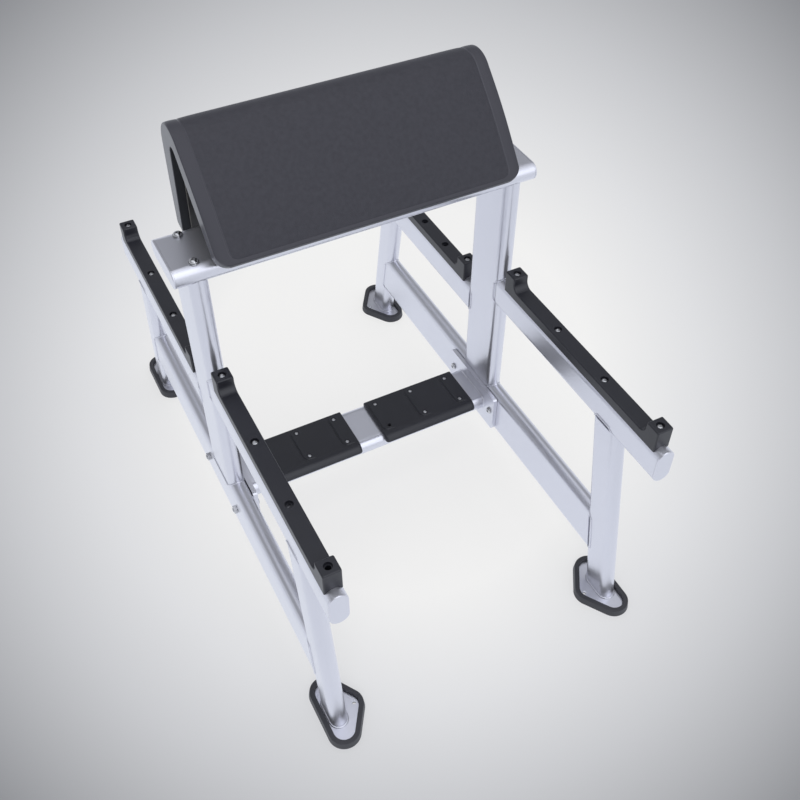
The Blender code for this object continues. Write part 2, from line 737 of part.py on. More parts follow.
def build_pad(name, material):
    """Bent slab with swelling faces, rolled edges and rounded lower corners."""
    half = PAD_LENGTH / 2
    depths = [PAD_REAR_CORNER_RADIUS * (1 - math.sin(math.radians(angle))) for angle in (0, 22)]
    depths += [PAD_CORNER_RADIUS * (1 - math.sin(math.radians(angle))) for angle in (0, 18, 36, 52)]
    depths += [PAD_EDGE_ROLL * (1 - math.sin(math.radians(angle))) for angle in (22, 45, 66, 90)]
    places = [-half + depth for depth in reversed(depths)] + [half - depth for depth in depths]
    rings = []
    for x in places:
        rings.append([Vector((x, point.x, point.y)) for point in pad_section(half - abs(x))])
    return add_object(name, loft(rings), None, material)


def lining_line(offset):
    """A line inside the pad's hollow: front face, crown and rear face, offset from the pad."""
    faces = pad_faces()
    front_high, front_low, front_normal = faces["front_inner"]
    rear_high, rear_low, rear_normal = faces["rear_inner"]
    front_end = front_low + (front_high - front_low).normalized() * BOARD_LIP_INSET - front_normal * offset
    rear_end = rear_low + (rear_high - rear_low).normalized() * BOARD_REAR_LIP_INSET - rear_normal * offset
    hollow = Vector((PAD_HOLLOW_Y, PAD_HOLLOW_Z))
    crown = turn_arc(hollow, front_normal, rear_normal, PAD_HOLLOW_RADIUS - offset, 8)
    return [front_end, *crown, rear_end]


def build_board(name, material):
    """Bent board that the pad is upholstered on, just inside the pad's hollow."""
    outer = lining_line(SEAM)
    inner = lining_line(SEAM + BOARD_THICKNESS)
    half = PAD_LENGTH / 2 - BOARD_END_INSET
    section = [*outer, *reversed(inner)]
    rings = [[Vector((x, point.x, point.y)) for point in section] for x in (-half, half)]
    return add_object(name, loft(rings), None, material)


def flange_along(first, last, normal, x):
    """Strip of plate under the board, along one of its faces."""
    inner_first = first - normal * BRACKET_PLATE
    inner_last = last - normal * BRACKET_PLATE
    rings = []
    for edge in (-BRACKET_FLANGE_WIDTH / 2, BRACKET_FLANGE_WIDTH / 2):
        corners = (first, last, inner_last, inner_first)
        rings.append([Vector((x + edge, corner.x, corner.y)) for corner in corners])
    return add_object("flange_strip", loft(rings))


def build_bracket(name, side, paint):
    """Gusset that stands on the beam and carries the pad's board on two flanges."""
    x = side * BRACKET_X
    faces = pad_faces()
    offset = 2 * SEAM + BOARD_THICKNESS
    front_high, front_low, front_normal = faces["front_inner"]
    rear_high, rear_low, rear_normal = faces["rear_inner"]
    foot = BEAM_TOP + SEAM
    front_high = front_high - front_normal * offset
    front_low = front_low - front_normal * offset
    share = (front_high.x + BRACKET_FOOT_HALF_LENGTH) / (front_high.x - front_low.x)
    front_end = front_high.lerp(front_low, share)
    rear_high = rear_high - rear_normal * offset
    rear_low = rear_low - rear_normal * offset
    rear_end = rear_high.lerp(rear_low, (rear_high.y - BRACKET_REAR_BOTTOM) / (rear_high.y - rear_low.y))
    web = [Vector((-BRACKET_FOOT_HALF_LENGTH, foot)), front_end, front_high, rear_high, rear_end,
           Vector((BRACKET_FOOT_HALF_LENGTH, foot))]
    rings = []
    for edge in (-BRACKET_PLATE / 2, BRACKET_PLATE / 2):
        rings.append([Vector((x + edge, point.x, point.y)) for point in web])
    bracket = add_object(name, loft(rings), None, paint)
    foot_low = Vector((-BRACKET_FOOT_HALF_LENGTH, foot))
    foot_high = Vector((BRACKET_FOOT_HALF_LENGTH, foot))
    combine(bracket, flange_along(front_end, front_high, front_normal, x), "UNION")
    combine(bracket, flange_along(rear_high, rear_end, rear_normal, x), "UNION")
    combine(bracket, flange_along(foot_low, foot_high, Vector((0, -1)), x), "UNION")
    return bracket


def build_bolt(name, seat, inward, grip, material):
    """Button-head bolt: its head's underside lies on the seat and its shank runs inward."""
    shank = BOLT_DIAMETER / 2
    head = BOLT_HEAD_DIAMETER / 2
    profile = [(shank * 0.8, -grip), (shank, -grip + shank * 0.2), (shank, 0), (head, 0)]
    profile.append((head, BOLT_HEAD_HEIGHT * 0.25))
    for angle in (33, 62):
        turn = math.radians(angle)
        profile.append((head * math.cos(turn), BOLT_HEAD_HEIGHT * (0.25 + 0.75 * math.sin(turn))))
    rings = [at_height(circle(radius), height) for radius, height in profile]
    wide = X_AXIS if abs(inward.x) < 0.5 else Y_AXIS
    bolt = add_object(name, loft(rings), axes_along(seat, seat - inward, wide), material)
    socket = circle(BOLT_SOCKET / math.sqrt(3), 6)
    outside = seat - inward * BOLT_HEAD_HEIGHT
    cut(bolt, prism("socket_tool", socket, outside + inward * BOLT_SOCKET_DEPTH, outside - inward * 0.01, wide))
    return bolt


def build_ring(name, seat, direction, outer, height, material):
    """Washer or nut body: an outline with a bolt hole through it."""
    hole = circle(BOLT_DIAMETER / 2 + BOLT_HOLE_CLEARANCE, len(outer))
    rings = [at_height(outer, 0), at_height(outer, height), at_height(hole, height), at_height(hole, 0)]
    wide = X_AXIS if abs(direction.x) < 0.5 else Y_AXIS
    return add_object(name, loft(rings, cyclic=True), axes_along(seat, seat + direction, wide), material)


def hexagon(width):
    """A hexagon with a point at each corner and in the middle of each side."""
    points = []
    for step in range(NUT_STEPS):
        angle = 2 * math.pi * (step + 0.5) / NUT_STEPS
        flat = (angle - math.pi / 12) % (math.pi / 3) - math.pi / 6
        reach = width / 2 / math.cos(flat)
        points.append((reach * math.cos(angle), reach * math.sin(angle)))
    return points


def build_beam_bolts(steel):
    seat_z = BEAM_TOP + SEAM
    for side_name, side in SIDES:
        for end_name, end in ENDS:
            seat = Vector((frame_x(side), end * BEAM_BOLT_Y, seat_z))
            tag = end_name + "_" + side_name
            outline = circle(WASHER_DIAMETER / 2)
            build_ring("beam_washer_" + tag, seat, Z_AXIS, outline, WASHER_THICKNESS, steel)
            head = seat + Z_AXIS * (WASHER_THICKNESS + SEAM)
            grip = TUBE_THICKNESS + TOP_PLATE_THICKNESS + WASHER_THICKNESS + 4 * SEAM
            build_bolt("beam_bolt_" + tag, head, -Z_AXIS, grip, steel)


def build_rail_bolts(steel):
    for side_name, side in SIDES:
        for end_name, end in ENDS:
            outward = Vector((side, 0, 0))
            tag = end_name + "_" + side_name
            y = end * RAIL_BOLT_Y
            face = frame_x(side) + side * (TUBE_THICKNESS / 2 + SEAM)
            nut_seat = Vector((face, y, rail_bolt_z()))
            build_ring("rail_nut_" + tag, nut_seat, outward, hexagon(NUT_WIDTH), NUT_HEIGHT, steel)
            inner = TUBE_THICKNESS / 2 + FLANGE_THICKNESS + 2 * SEAM
            head = Vector((frame_x(side) - side * inner, y, rail_bolt_z()))
            grip = TUBE_THICKNESS + FLANGE_THICKNESS + 3 * SEAM + NUT_HEIGHT + BOLT_TIP_LENGTH
            build_bolt("rail_bolt_" + tag, head, outward, grip, steel)


def copy_piece(thing, name, matrix):
    """A second object on the same mesh, at its own place."""
    twin = bpy.data.objects.new(name, thing.data)
    twin.matrix_world = matrix
    bpy.context.scene.collection.objects.link(twin)


def copy_to_left(thing):
    shift = Matrix.Translation((-FRAME_SPACING, 0, 0))
    copy_piece(thing, thing.name.replace("_right", "_left"), shift @ thing.matrix_world)


def build_tubes(paint):
    """The right frame's welded tubes. Each is the same on both of its faces, so the left is a copy."""
    side = 1
    tubes = [
        build_rail("base_rail_right", side, paint),
        build_upright("upright_right", side, paint),
        build_top_plate("upright_top_plate_right", side, paint),
    ]
    for end_name, end in ENDS:
        tag = end_name + "_right"
        outward = Vector((0, end, 0))
        seat = arm_line(side, end)[1]
        tubes.append(build_arm("rack_arm_" + tag, side, end, paint))
        tubes.append(build_leg("leg_" + tag, side, end, paint))
        tubes.append(build_end_cap("rack_arm_cap_" + tag, seat, outward, Z_AXIS, ARM_WIDTH, paint))
    for tube in tubes:
        copy_to_left(tube)


def build_racks(plastic):
    racks = {}
    for side_name, side in SIDES:
        for end_name, end in ENDS:
            name = "bar_rack_" + end_name + "_" + side_name
            offsets = rack_screw_offsets(side, end)
            if offsets in racks:
                copy_piece(racks[offsets], name, rack_matrix(side, end))
            else:
                racks[offsets] = build_rack(name, offsets, plastic)
                racks[offsets].matrix_world = rack_matrix(side, end)


def build_feet(paint, rubber):
    first_rubber = build_rubber("foot_rubber_front_right", rubber)
    first_plate = build_foot_plate("foot_plate_front_right", paint)
    for side_name, side in SIDES:
        for end_name, end in ENDS:
            tag = end_name + "_" + side_name
            for thing, base in ((first_rubber, "foot_rubber_"), (first_plate, "foot_plate_")):
                if thing.name == base + tag:
                    thing.matrix_world = foot_matrix(side, end)
                else:
                    copy_piece(thing, base + tag, foot_matrix(side, end))


def build_top(paint, cover, board):
    build_beam("pad_beam", paint)
    for side_name, side in SIDES:
        seat = beam_line()[0 if side < 0 else 1]
        build_end_cap("pad_beam_cap_" + side_name, seat, Vector((side, 0, 0)), Y_AXIS, BEAM_WIDTH, paint)
        build_bracket("pad_bracket_" + side_name, side, paint)
    build_board("pad_board", board)
    build_pad("arm_pad", cover)


def build_step(paint, plastic):
    build_step_tube("step_tube", paint)
    for side_name, side in SIDES:
        build_flange("step_flange_" + side_name, side, paint)
        build_tread("step_tread_" + side_name, side, plastic)


def finish():
    root = bpy.data.objects.new("preacher_bench", None)
    bpy.context.scene.collection.objects.link(root)
    for thing in list(bpy.context.scene.objects):
        if thing.type == "MESH":
            thing.parent = root
    for mesh in bpy.data.meshes:
        mesh.shade_smooth()
        mesh.set_sharp_from_angle(angle=SHARP_ANGLE)


def main():
    clear_scene()
    paint = silver_paint()
    plastic = black_plastic()
    steel = bolt_steel()
    build_tubes(paint)
    build_racks(plastic)
    build_feet(paint, black_rubber())
    build_step(paint, plastic)
    build_top(paint, pad_cover(), board_laminate())
    build_beam_bolts(steel)
    build_rail_bolts(steel)
    finish()


main()
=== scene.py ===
import math

import bmesh
import bpy
import numpy as np
from mathutils import Matrix, Vector


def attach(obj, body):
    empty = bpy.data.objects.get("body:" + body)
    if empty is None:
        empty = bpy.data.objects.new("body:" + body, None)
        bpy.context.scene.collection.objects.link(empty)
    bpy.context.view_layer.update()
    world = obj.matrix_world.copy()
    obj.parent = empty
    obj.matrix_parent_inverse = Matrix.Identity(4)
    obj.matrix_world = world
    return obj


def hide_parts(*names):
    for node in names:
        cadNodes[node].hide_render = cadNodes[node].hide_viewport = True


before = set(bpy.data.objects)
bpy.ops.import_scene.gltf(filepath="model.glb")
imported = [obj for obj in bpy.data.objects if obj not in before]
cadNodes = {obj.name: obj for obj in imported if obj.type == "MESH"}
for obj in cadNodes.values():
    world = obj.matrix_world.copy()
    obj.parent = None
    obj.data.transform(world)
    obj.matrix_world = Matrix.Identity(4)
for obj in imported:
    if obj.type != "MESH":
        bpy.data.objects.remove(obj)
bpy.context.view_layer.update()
scene = bpy.context.scene

sides = {"left": -1, "right": 1}
xAxis = Vector((1, 0, 0))
yAxis = Vector((0, 1, 0))
zAxis = Vector((0, 0, 1))

# sizes that more than one piece uses, in metres, as the CAD has them
bench = {
    "frameX": 0.344,
    "tubeThick": 0.039,
    "seam": 0.0003,
    "smoothAngle": math.radians(32),
}
tubeHalf = bench["tubeThick"] / 2
frameX = bench["frameX"]
seam = bench["seam"]

# the four corners: end, side, the tail of a node's name and of a piece's name
corners = []
for endName, end in (("front", -1), ("rear", 1)):
    for sideName, side in sides.items():
        corners.append((end, side, endName + "_" + sideName, endName.capitalize() + sideName.capitalize()))

camera = {
    "place": (-0.66105, -1.48669, 1.98345),
    "down": 46.4407,
    "turn": -27.3247,
    "lens": 44.087,
    "sensor": 36.0,
}


def addObject(name, data):
    thing = bpy.data.objects.new(name, data)
    scene.collection.objects.link(thing)
    return thing


def setCamera():
    data = bpy.data.cameras.new("benchCamera")
    data.sensor_width = camera["sensor"]
    data.lens = camera["lens"]
    data.clip_end = 60
    thing = addObject("benchCamera", data)
    thing.location = camera["place"]
    thing.rotation_euler = (math.radians(90 - camera["down"]), 0, math.radians(camera["turn"]))
    scene.camera = thing


setCamera()
print("camera set")


# a node tree under construction: a socket takes a number, another node's output, or a node's first output
class Sheet:
    def __init__(self, tree):
        self.tree = tree

    def link(self, source, target):
        self.tree.links.new(source, target)

    def fill(self, node, values):
        for key, value in values.items():
            if hasattr(value, "outputs"):
                value = value.outputs[0]
            if hasattr(value, "is_output"):
                self.link(value, node.inputs[key])
            else:
                node.inputs[key].default_value = value

    def node(self, kind, inputs=None, **settings):
        made = self.tree.nodes.new(kind)
        for key, value in settings.items():
            setattr(made, key, value)
        self.fill(made, inputs or {})
        return made

    def math(self, operation, first, second=0.0, clamp=False):
        terms = {0: first, 1: second}
        return self.node("ShaderNodeMath", terms, operation=operation, use_clamp=clamp).outputs[0]

    def vector(self, operation, first, second):
        return self.node("ShaderNodeVectorMath", {0: first, 1: second}, operation=operation).outputs

    def dot(self, first, second):
        return self.vector("DOT_PRODUCT", first, second)["Value"]

    def mix(self, factor, first, second, blend="MIX"):
        colours = {"Factor": factor, 6: first, 7: second}
        return self.node("ShaderNodeMix", colours, data_type="RGBA", blend_type=blend).outputs[2]

    def mixShader(self, factor, first, second):
        return self.node("ShaderNodeMixShader", {0: factor, 1: first, 2: second})

    def ramp(self, factor, stops):
        made = self.node("ShaderNodeValToRGB", {"Fac": factor})
        band = made.color_ramp
        while len(band.elements) < len(stops):
            band.elements.new(0.5)
        for element, (place, colour) in zip(band.elements, stops):
            element.position = place
            element.color = (*(colour if isinstance(colour, tuple) else (colour,) * 3), 1.0)
        return made.outputs["Color"]

    # ends a geometry tree: instances made real and given their material
    def realize(self, shape, finish, target):
        real = self.node("GeometryNodeRealizeInstances", {"Geometry": shape})
        paint = self.node("GeometryNodeSetMaterial", {"Geometry": real, "Material": finish})
        self.link(paint.outputs[0], target)


def newTree(name, kind, inputs, outputs=(("Geometry", "Geometry"),)):
    tree = bpy.data.node_groups.new(name, kind + "NodeTree")
    for way, sockets in (("INPUT", inputs), ("OUTPUT", outputs)):
        for label, sort in sockets:
            tree.interface.new_socket(name=label, in_out=way, socket_type="NodeSocket" + sort)
    sheet = Sheet(tree)
    return sheet, sheet.node("NodeGroupInput").outputs, sheet.node("NodeGroupOutput").inputs


# fine moulded or embossed grain, as a height for Bump
def buildGrainGroup():
    sheet, come, go = newTree("fineGrain", "Shader", (("Scale", "Float"),), (("Height", "Float"),))
    seat = {"Vector": sheet.node("ShaderNodeTexCoord").outputs["Object"], "Scale": come["Scale"]}
    cells = sheet.node("ShaderNodeTexVoronoi", {**seat, "Randomness": 1.0, "Smoothness": 0.5},
                       feature="SMOOTH_F1")
    specks = sheet.node("ShaderNodeTexNoise", {**seat, "Detail": 3.0, "Roughness": 0.6})
    height = sheet.math("ADD", sheet.math("MULTIPLY", cells, 0.7), sheet.math("MULTIPLY", specks, 0.5))
    sheet.link(height, go["Height"])
    return sheet.tree


# slow uneven tone, so that no large surface is one flat colour
def buildToneGroup():
    inputs = (("Colour", "Color"), ("Other", "Color"), ("Scale", "Float"), ("Contrast", "Float"))
    sheet, come, go = newTree("unevenTone", "Shader", inputs, (("Colour", "Color"), ("Mask", "Float")))
    place = sheet.node("ShaderNodeTexCoord").outputs["Object"]
    cloud = sheet.node("ShaderNodeTexNoise",
                       {"Vector": place, "Scale": come["Scale"], "Detail": 4.0, "Roughness": 0.55})
    centred = sheet.math("SUBTRACT", cloud, 0.5)
    mask = sheet.math("ADD", sheet.math("MULTIPLY", centred, come["Contrast"]), 0.5, True)
    sheet.link(sheet.mix(mask, come["Colour"], come["Other"]), go["Colour"])
    sheet.link(mask, go["Mask"])
    return sheet.tree


grainGroup = buildGrainGroup()
toneGroup = buildToneGroup()

# tone and other tone mix in clouds of one scale; grain is its scale, strength and height
looks = {
    "silverPaint": dict(tone=(0.72, 0.725, 0.79), other=(0.6948, 0.699625, 0.76235), cloud=9.0,
                        rough=(0.27, 0.33), grain=(1500.0, 0.035, 0.0003),
                        more={"Metallic": 0.88, "Coat Weight": 0.25, "Coat Roughness": 0.12}),
    "padPanel": dict(tone=(0.030, 0.030, 0.039), other=(0.041, 0.041, 0.052), cloud=110.0, contrast=2.2,
                     rough=(0.44, 0.54), grain=(620.0, 0.55, 0.0005), more={"Specular IOR Level": 0.3}),
    "padBorder": dict(tone=(0.041, 0.041, 0.052), other=(0.047, 0.047, 0.059), cloud=30.0,
                      rough=(0.40, 0.46), grain=(900.0, 0.12, 0.0003), more={"Specular IOR Level": 0.3}),
    "blackPlastic": dict(tone=(0.011, 0.0115, 0.017), other=(0.016, 0.0165, 0.023), cloud=24.0,
                         rough=(0.34, 0.42), grain=(1300.0, 0.10, 0.0003), more={"Specular IOR Level": 0.55}),
    "blackRubber": dict(tone=(0.028, 0.0285, 0.035), other=(0.036, 0.0365, 0.044), cloud=40.0,
                        rough=(0.46, 0.58), grain=(800.0, 0.15, 0.0003)),
    # the board's ends are paler than its faces
    "blackBoard": dict(tone=(0.018, 0.018, 0.019), other=(0.026, 0.025, 0.025), cloud=60.0,
                       rough=(0.50, 0.62), grain=(500.0, 0.2, 0.0004), paleEndFrom=0.3014,
                       paleEnd=(0.15, 0.145, 0.14)),
    # a cooler, glossier copy of the cover for faces turned to the pad's ends: painted sheen standing in for
    # their grazing highlight
    "padEnd": dict(tone=(0.034, 0.034, 0.046), other=(0.040, 0.040, 0.053), cloud=30.0,
                   rough=(0.30, 0.36), grain=(900.0, 0.03, 0.0002),
                   more={"Coat Weight": 0.15, "Coat Roughness": 0.25}),
    # matt lining that closes the hollow side of the pad, darker than the border as painted shade inside the
    # hollow
    "padLining": dict(tone=(0.021, 0.0225, 0.027), other=(0.028, 0.0300, 0.035), cloud=90.0,
                      rough=(0.72, 0.86), grain=(700.0, 0.35, 0.0004), more={"Specular IOR Level": 0.3}),
    "brightSteel": dict(tone=(0.62, 0.62, 0.63), other=(0.558, 0.558, 0.567), cloud=260.0,
                        rough=(0.20, 0.30), grain=(2400.0, 0.05, 0.0002), more={"Metallic": 1.0}),
    "greySteel": dict(tone=(0.66, 0.66, 0.67), other=(0.594, 0.594, 0.603), cloud=260.0,
                      rough=(0.34, 0.46), grain=(2400.0, 0.05, 0.0002), more={"Metallic": 1.0}),
}


def newMaterial(name):
    material = bpy.data.materials.new(name)
    material.use_nodes = True
    return material, Sheet(material.node_tree), material.node_tree.nodes["Principled BSDF"]


def buildLook(name, look):
    material, sheet, shader = newMaterial(name)
    values = {"Colour": (*look["tone"], 1), "Other": (*look["other"], 1), "Scale": look["cloud"],
              "Contrast": look.get("contrast", 1.0)}
    tone = sheet.node("ShaderNodeGroup", values, node_tree=toneGroup)
    colour = tone.outputs["Colour"]
    # both ends of the board, out past a set distance from its middle, take a paler colour
    if "paleEnd" in look:
        place = sheet.node("ShaderNodeTexCoord").outputs["Object"]
        across = sheet.math("ABSOLUTE", sheet.node("ShaderNodeSeparateXYZ", {0: place}).outputs["X"])
        colour = sheet.mix(sheet.math("GREATER_THAN", across, look["paleEndFrom"]), colour, (*look["paleEnd"], 1))
    rough = sheet.node("ShaderNodeMapRange", {"Value": tone.outputs["Mask"], "To Min": look["rough"][0],
                                              "To Max": look["rough"][1]})
    scale, strength, height = look["grain"]
    grain = sheet.node("ShaderNodeGroup", {"Scale": scale}, node_tree=grainGroup)
    bump = sheet.node("ShaderNodeBump", {"Strength": strength, "Distance": height, "Height": grain})
    sheet.fill(shader, {"Base Color": colour, "Roughness": rough, "Normal": bump, **look.get("more", {})})
    return material


materials = {name: buildLook(name, look) for name, look in looks.items()}
print("materials made:", len(materials))


def grey(level, blue=0.0):
    linear = (level / 255) ** 2.2
    return (linear * (1 - blue), linear * (1 - 0.5 * blue), linear * (1 + blue))


# ramps are pairs of place and tone; the light pool is a painted pool of light, the floor's tone by its
# distance from the view's middle
studio = {
    "floorRadius": 14.0,
    "floorGloss": (0.905, 0.945, 1.02, 1),
    "floorGlow": 0.7,
    "floorShare": 0.85,
    "backdrop": ((0.50, 0.51), (0.56, 0.62), (0.70, 0.80)),
    "skyDiffuse": 0.72,
    "skyTone": (0.985, 0.99, 1.0, 1),
    "skyGloss": 1.5,
    "skyTint": (0.93, 0.96, 1.03, 1),
    "sky": ((0.50, 0.52), (0.57, 0.43), (0.638, 0.35), (0.711, 0.25), (0.772, 0.18), (0.808, 0.185),
            (0.847, 0.24), (0.872, 0.27), (0.894, 0.34), (0.9145, 0.41), (0.933, 0.56), (0.949, 0.72),
            (1.0, 0.74)),
    "boxAim": (0.29, -0.72, 0.62),
    "box": ((0.70, 0.0), (0.81, 0.18), (0.906, 0.48), (0.975, 0.86)),
    "lightPool": ((0.0, grey(245, -0.005)), (0.20, grey(244, -0.005)), (0.31, grey(226, 0.015)),
             (0.41, grey(203, 0.025)), (0.58, grey(147, 0.04)), (0.66, grey(146, 0.03)),
             (0.84, grey(174, 0.02)), (1.0, grey(190, 0.01))),
    # name, place, aim, size, power
    "lamps": (("overheadLamp", (0.3, 0.2, 4.2), (0, 0, 0), 3.0, 34.0),
              ("frontLamp", (-1.6, -3.4, 3.0), (0, 0, 0.4), 2.4, 45.0)),
}


def buildWorld():
    world = bpy.data.worlds.new("studio")
    scene.world = world
    world.use_nodes = True
    world.node_tree.nodes.clear()
    sheet = Sheet(world.node_tree)
    place = sheet.node("ShaderNodeTexCoord").outputs["Generated"]
    split = sheet.node("ShaderNodeSeparateXYZ", {0: place})
    height = sheet.math("ADD", sheet.math("MULTIPLY", split.outputs["Z"], 0.5), 0.5)
    # what gloss sees: pale at the horizon, greyer overhead, with one large soft box in front
    box = sheet.ramp(sheet.dot(place, Vector(studio["boxAim"]).normalized()), studio["box"])
    both = sheet.mix(1.0, sheet.ramp(height, studio["sky"]), box, "ADD")
    cool = sheet.mix(1.0, both, studio["skyTint"], "MULTIPLY")

    def background(colour, strength):
        return sheet.node("ShaderNodeBackground", {"Color": colour, "Strength": strength})

    path = sheet.node("ShaderNodeLightPath").outputs
    lighting = sheet.mixShader(path["Is Glossy Ray"], background(studio["skyTone"], studio["skyDiffuse"]),
                               background(cool, studio["skyGloss"]))
    seen = background(sheet.ramp(height, studio["backdrop"]), 1.0)
    full = sheet.mixShader(path["Is Camera Ray"], lighting, seen)
    sheet.node("ShaderNodeOutputWorld", {"Surface": full})


# the floor carries a painted pool of light: palest round the bench and greyer away from it
def buildFloor():
    bm = bmesh.new()
    bmesh.ops.create_circle(bm, cap_ends=True, radius=studio["floorRadius"], segments=96)
    mesh = bpy.data.meshes.new("studioFloor")
    bm.to_mesh(mesh)
    bm.free()
    material, sheet, shader = newMaterial("paleFloor")
    turn = math.radians(-camera["turn"])
    down = math.radians(camera["down"])
    away = Vector((math.sin(turn), math.cos(turn), 0))
    across = Vector((away.y, -away.x, 0))
    east, north, high = camera["place"]
    place = sheet.node("ShaderNodeTexCoord").outputs["Object"]
    fromHere = sheet.vector("SUBTRACT", place, (east, north, 0))[0]
    # the painted pool of light is round in perspective, so its far side reaches further
    depth = sheet.math("ADD", sheet.dot(fromHere, away * math.cos(down)), high * math.sin(down))
    depth = sheet.math("MAXIMUM", depth, 0.05)
    rise = sheet.math("ADD", sheet.dot(fromHere, away * math.sin(down)), -high * math.cos(down))
    u = sheet.math("DIVIDE", sheet.dot(fromHere, across), depth)
    v = sheet.math("DIVIDE", rise, depth)
    reach = sheet.math("SQRT", sheet.math("ADD", sheet.math("MULTIPLY", u, u), sheet.math("MULTIPLY", v, v)))
    # painted pool of light: the floor's colour by its distance from the view's middle
    tone = sheet.ramp(reach, studio["lightPool"])
    sheet.fill(shader, {"Base Color": tone, "Roughness": 0.9, "Specular IOR Level": 0.1})
    # gloss sees an evenly pale floor, as the real studio's was
    path = sheet.node("ShaderNodeLightPath").outputs
    # camera rays also see the floor glow in the painted pool tone, a painted glow with no lamp behind it
    glow = sheet.node("ShaderNodeEmission", {"Color": tone, "Strength": 1.0})
    lit = sheet.mixShader(sheet.math("MULTIPLY", path["Is Camera Ray"], studio["floorGlow"]), shader, glow)
    pale = sheet.node("ShaderNodeEmission", {"Color": studio["floorGloss"], "Strength": 1.0})
    full = sheet.mixShader(sheet.math("MULTIPLY", path["Is Glossy Ray"], studio["floorShare"]), lit, pale)
    sheet.link(full.outputs[0], material.node_tree.nodes["Material Output"].inputs["Surface"])
    mesh.materials.append(material)
    addObject("studioFloor", mesh)


def addLamp(name, place, target, size, power):
    data = bpy.data.lights.new(name, "AREA")
    data.shape = "DISK"
    data.size = size
    data.energy = power
    lamp = addObject(name, data)
    lamp.location = place
    lamp.rotation_euler = (Vector(target) - Vector(place)).to_track_quat("-Z", "Y").to_euler()
    lamp.visible_glossy = False


buildWorld()
buildFloor()
for lamp in studio["lamps"]:
    addLamp(*lamp)
scene.view_settings.view_transform = "Standard"
print("studio set")


def buildSmoothTree():
    sheet, come, go = newTree("smoothByAngle", "Geometry", (("Geometry", "Geometry"),))
    angle = sheet.node("GeometryNodeInputMeshEdgeAngle").outputs["Unsigned Angle"]
    sharp = sheet.math("LESS_THAN", angle, bench["smoothAngle"])
    faces = sheet.node("GeometryNodeSetShadeSmooth", {"Geometry": come[0]}, domain="FACE")
    edges = sheet.node("GeometryNodeSetShadeSmooth", {"Geometry": faces, "Shade Smooth": sharp},
                       domain="EDGE")
    sheet.link(edges.outputs[0], go[0])
    return sheet.tree


# one tree sets a master piece on every point, turned along the point's own aim
def buildPlaceTree():
    inputs = (("Geometry", "Geometry"), ("Master", "Object"), ("Size", "Float"), ("Finish", "Material"))
    sheet, come, go = newTree("placeOnPoints", "Geometry", inputs)
    master = sheet.node("GeometryNodeObjectInfo", {"Object": come["Master"]}, transform_space="ORIGINAL")
    aim = sheet.node("GeometryNodeInputNamedAttribute", {"Name": "aim"}, data_type="FLOAT_VECTOR")
    spin = sheet.node("GeometryNodeInputNamedAttribute", {"Name": "spin"}, data_type="FLOAT")
    turn = sheet.node("FunctionNodeAlignRotationToVector", {"Vector": aim}, axis="Z")
    about = sheet.node("FunctionNodeAxisAngleToRotation", {"Angle": spin})
    local = sheet.node("FunctionNodeRotateRotation", {0: turn, 1: about}, rotation_space="LOCAL")
    place = sheet.node("GeometryNodeInstanceOnPoints",
                       {"Points": come["Geometry"], "Instance": master.outputs["Geometry"],
                        "Rotation": local, "Scale": come["Size"]})
    sheet.realize(place, come["Finish"], go["Geometry"])
    return sheet.tree


# a weld bead: a round profile along a path, rippled as the weld pool froze
def buildBeadTree():
    inputs = (("Geometry", "Geometry"), ("Radius", "Float"), ("Step", "Float"), ("Ripple", "Float"),
              ("Pitch", "Float"), ("Seed", "Int"), ("Finish", "Material"))
    sheet, come, go = newTree("weldBead", "Geometry", inputs)
    curve = sheet.node("GeometryNodeMeshToCurve", {"Mesh": come["Geometry"]})
    even = sheet.node("GeometryNodeResampleCurve", {"Curve": curve, "Length": come["Step"]}, mode="LENGTH")
    run = sheet.node("GeometryNodeSplineParameter").outputs["Length"]
    wave = sheet.math("SINE", sheet.math("DIVIDE", sheet.math("MULTIPLY", run, 6.2832), come["Pitch"]))
    wander = sheet.node("FunctionNodeRandomValue", {2: 0.94, 3: 1.05, "Seed": come["Seed"]},
                        data_type="FLOAT")
    swell = sheet.math("ADD", sheet.math("MULTIPLY", wave, come["Ripple"]), wander.outputs[1])
    profile = sheet.node("GeometryNodeCurvePrimitiveCircle", {"Resolution": 8, "Radius": 1.0}, mode="RADIUS")
    tube = sheet.node("GeometryNodeCurveToMesh",
                      {"Curve": even, "Profile Curve": profile,
                       "Scale": sheet.math("MULTIPLY", swell, come["Radius"])})
    sheet.realize(tube, come["Finish"], go["Geometry"])
    return sheet.tree


smoothTree = buildSmoothTree()
placeTree = buildPlaceTree()
beadTree = buildBeadTree()
print("trees built")


# shapes that several pieces are built from
def arcPoints(centreU, centreV, radius, first, last, steps):
    points = []
    for step in range(steps + 1):
        angle = math.radians(first + (last - first) * step / steps)
        points.append((centreU + radius * math.cos(angle), centreV + radius * math.sin(angle)))
    return points


def flatOval(width, inset=0.0, steps=24):
    straight = (width - bench["tubeThick"]) / 2
    radius = tubeHalf - inset
    return arcPoints(straight, 0, radius, -90, 90, steps) + arcPoints(-straight, 0, radius, 90, 270, steps)


def raised(outline, height):
    return [Vector((u, v, height)) for u, v in outline]


def rolled(depth, distance):
    if distance >= depth:
        return 0.0
    return depth - math.sqrt(depth * depth - (depth - distance) ** 2)


# rings that round off a top edge, from its side at the first angle to its face at 90
def roundedTop(outline, edge, inset, top, angles):
    rings = []
    for angle in angles:
        turn = math.radians(angle)
        rings.append(raised(outline(inset + edge * (1 - math.cos(turn))), top - edge * (1 - math.sin(turn))))
    return rings


# how far in from an edge each step of its rounding lies
def edgeDepths(depth, angles):
    return [depth * (1 - math.sin(math.radians(angle))) for angle in angles]


def fromBothEnds(low, high, depths, middle=()):
    return [low + depth for depth in depths] + [*middle] + [high - depth for depth in reversed(depths)]


def spread(first, last, step):
    count = max(1, round(abs(last - first) / step))
    return [first + (last - first) * index / count for index in range(count)]


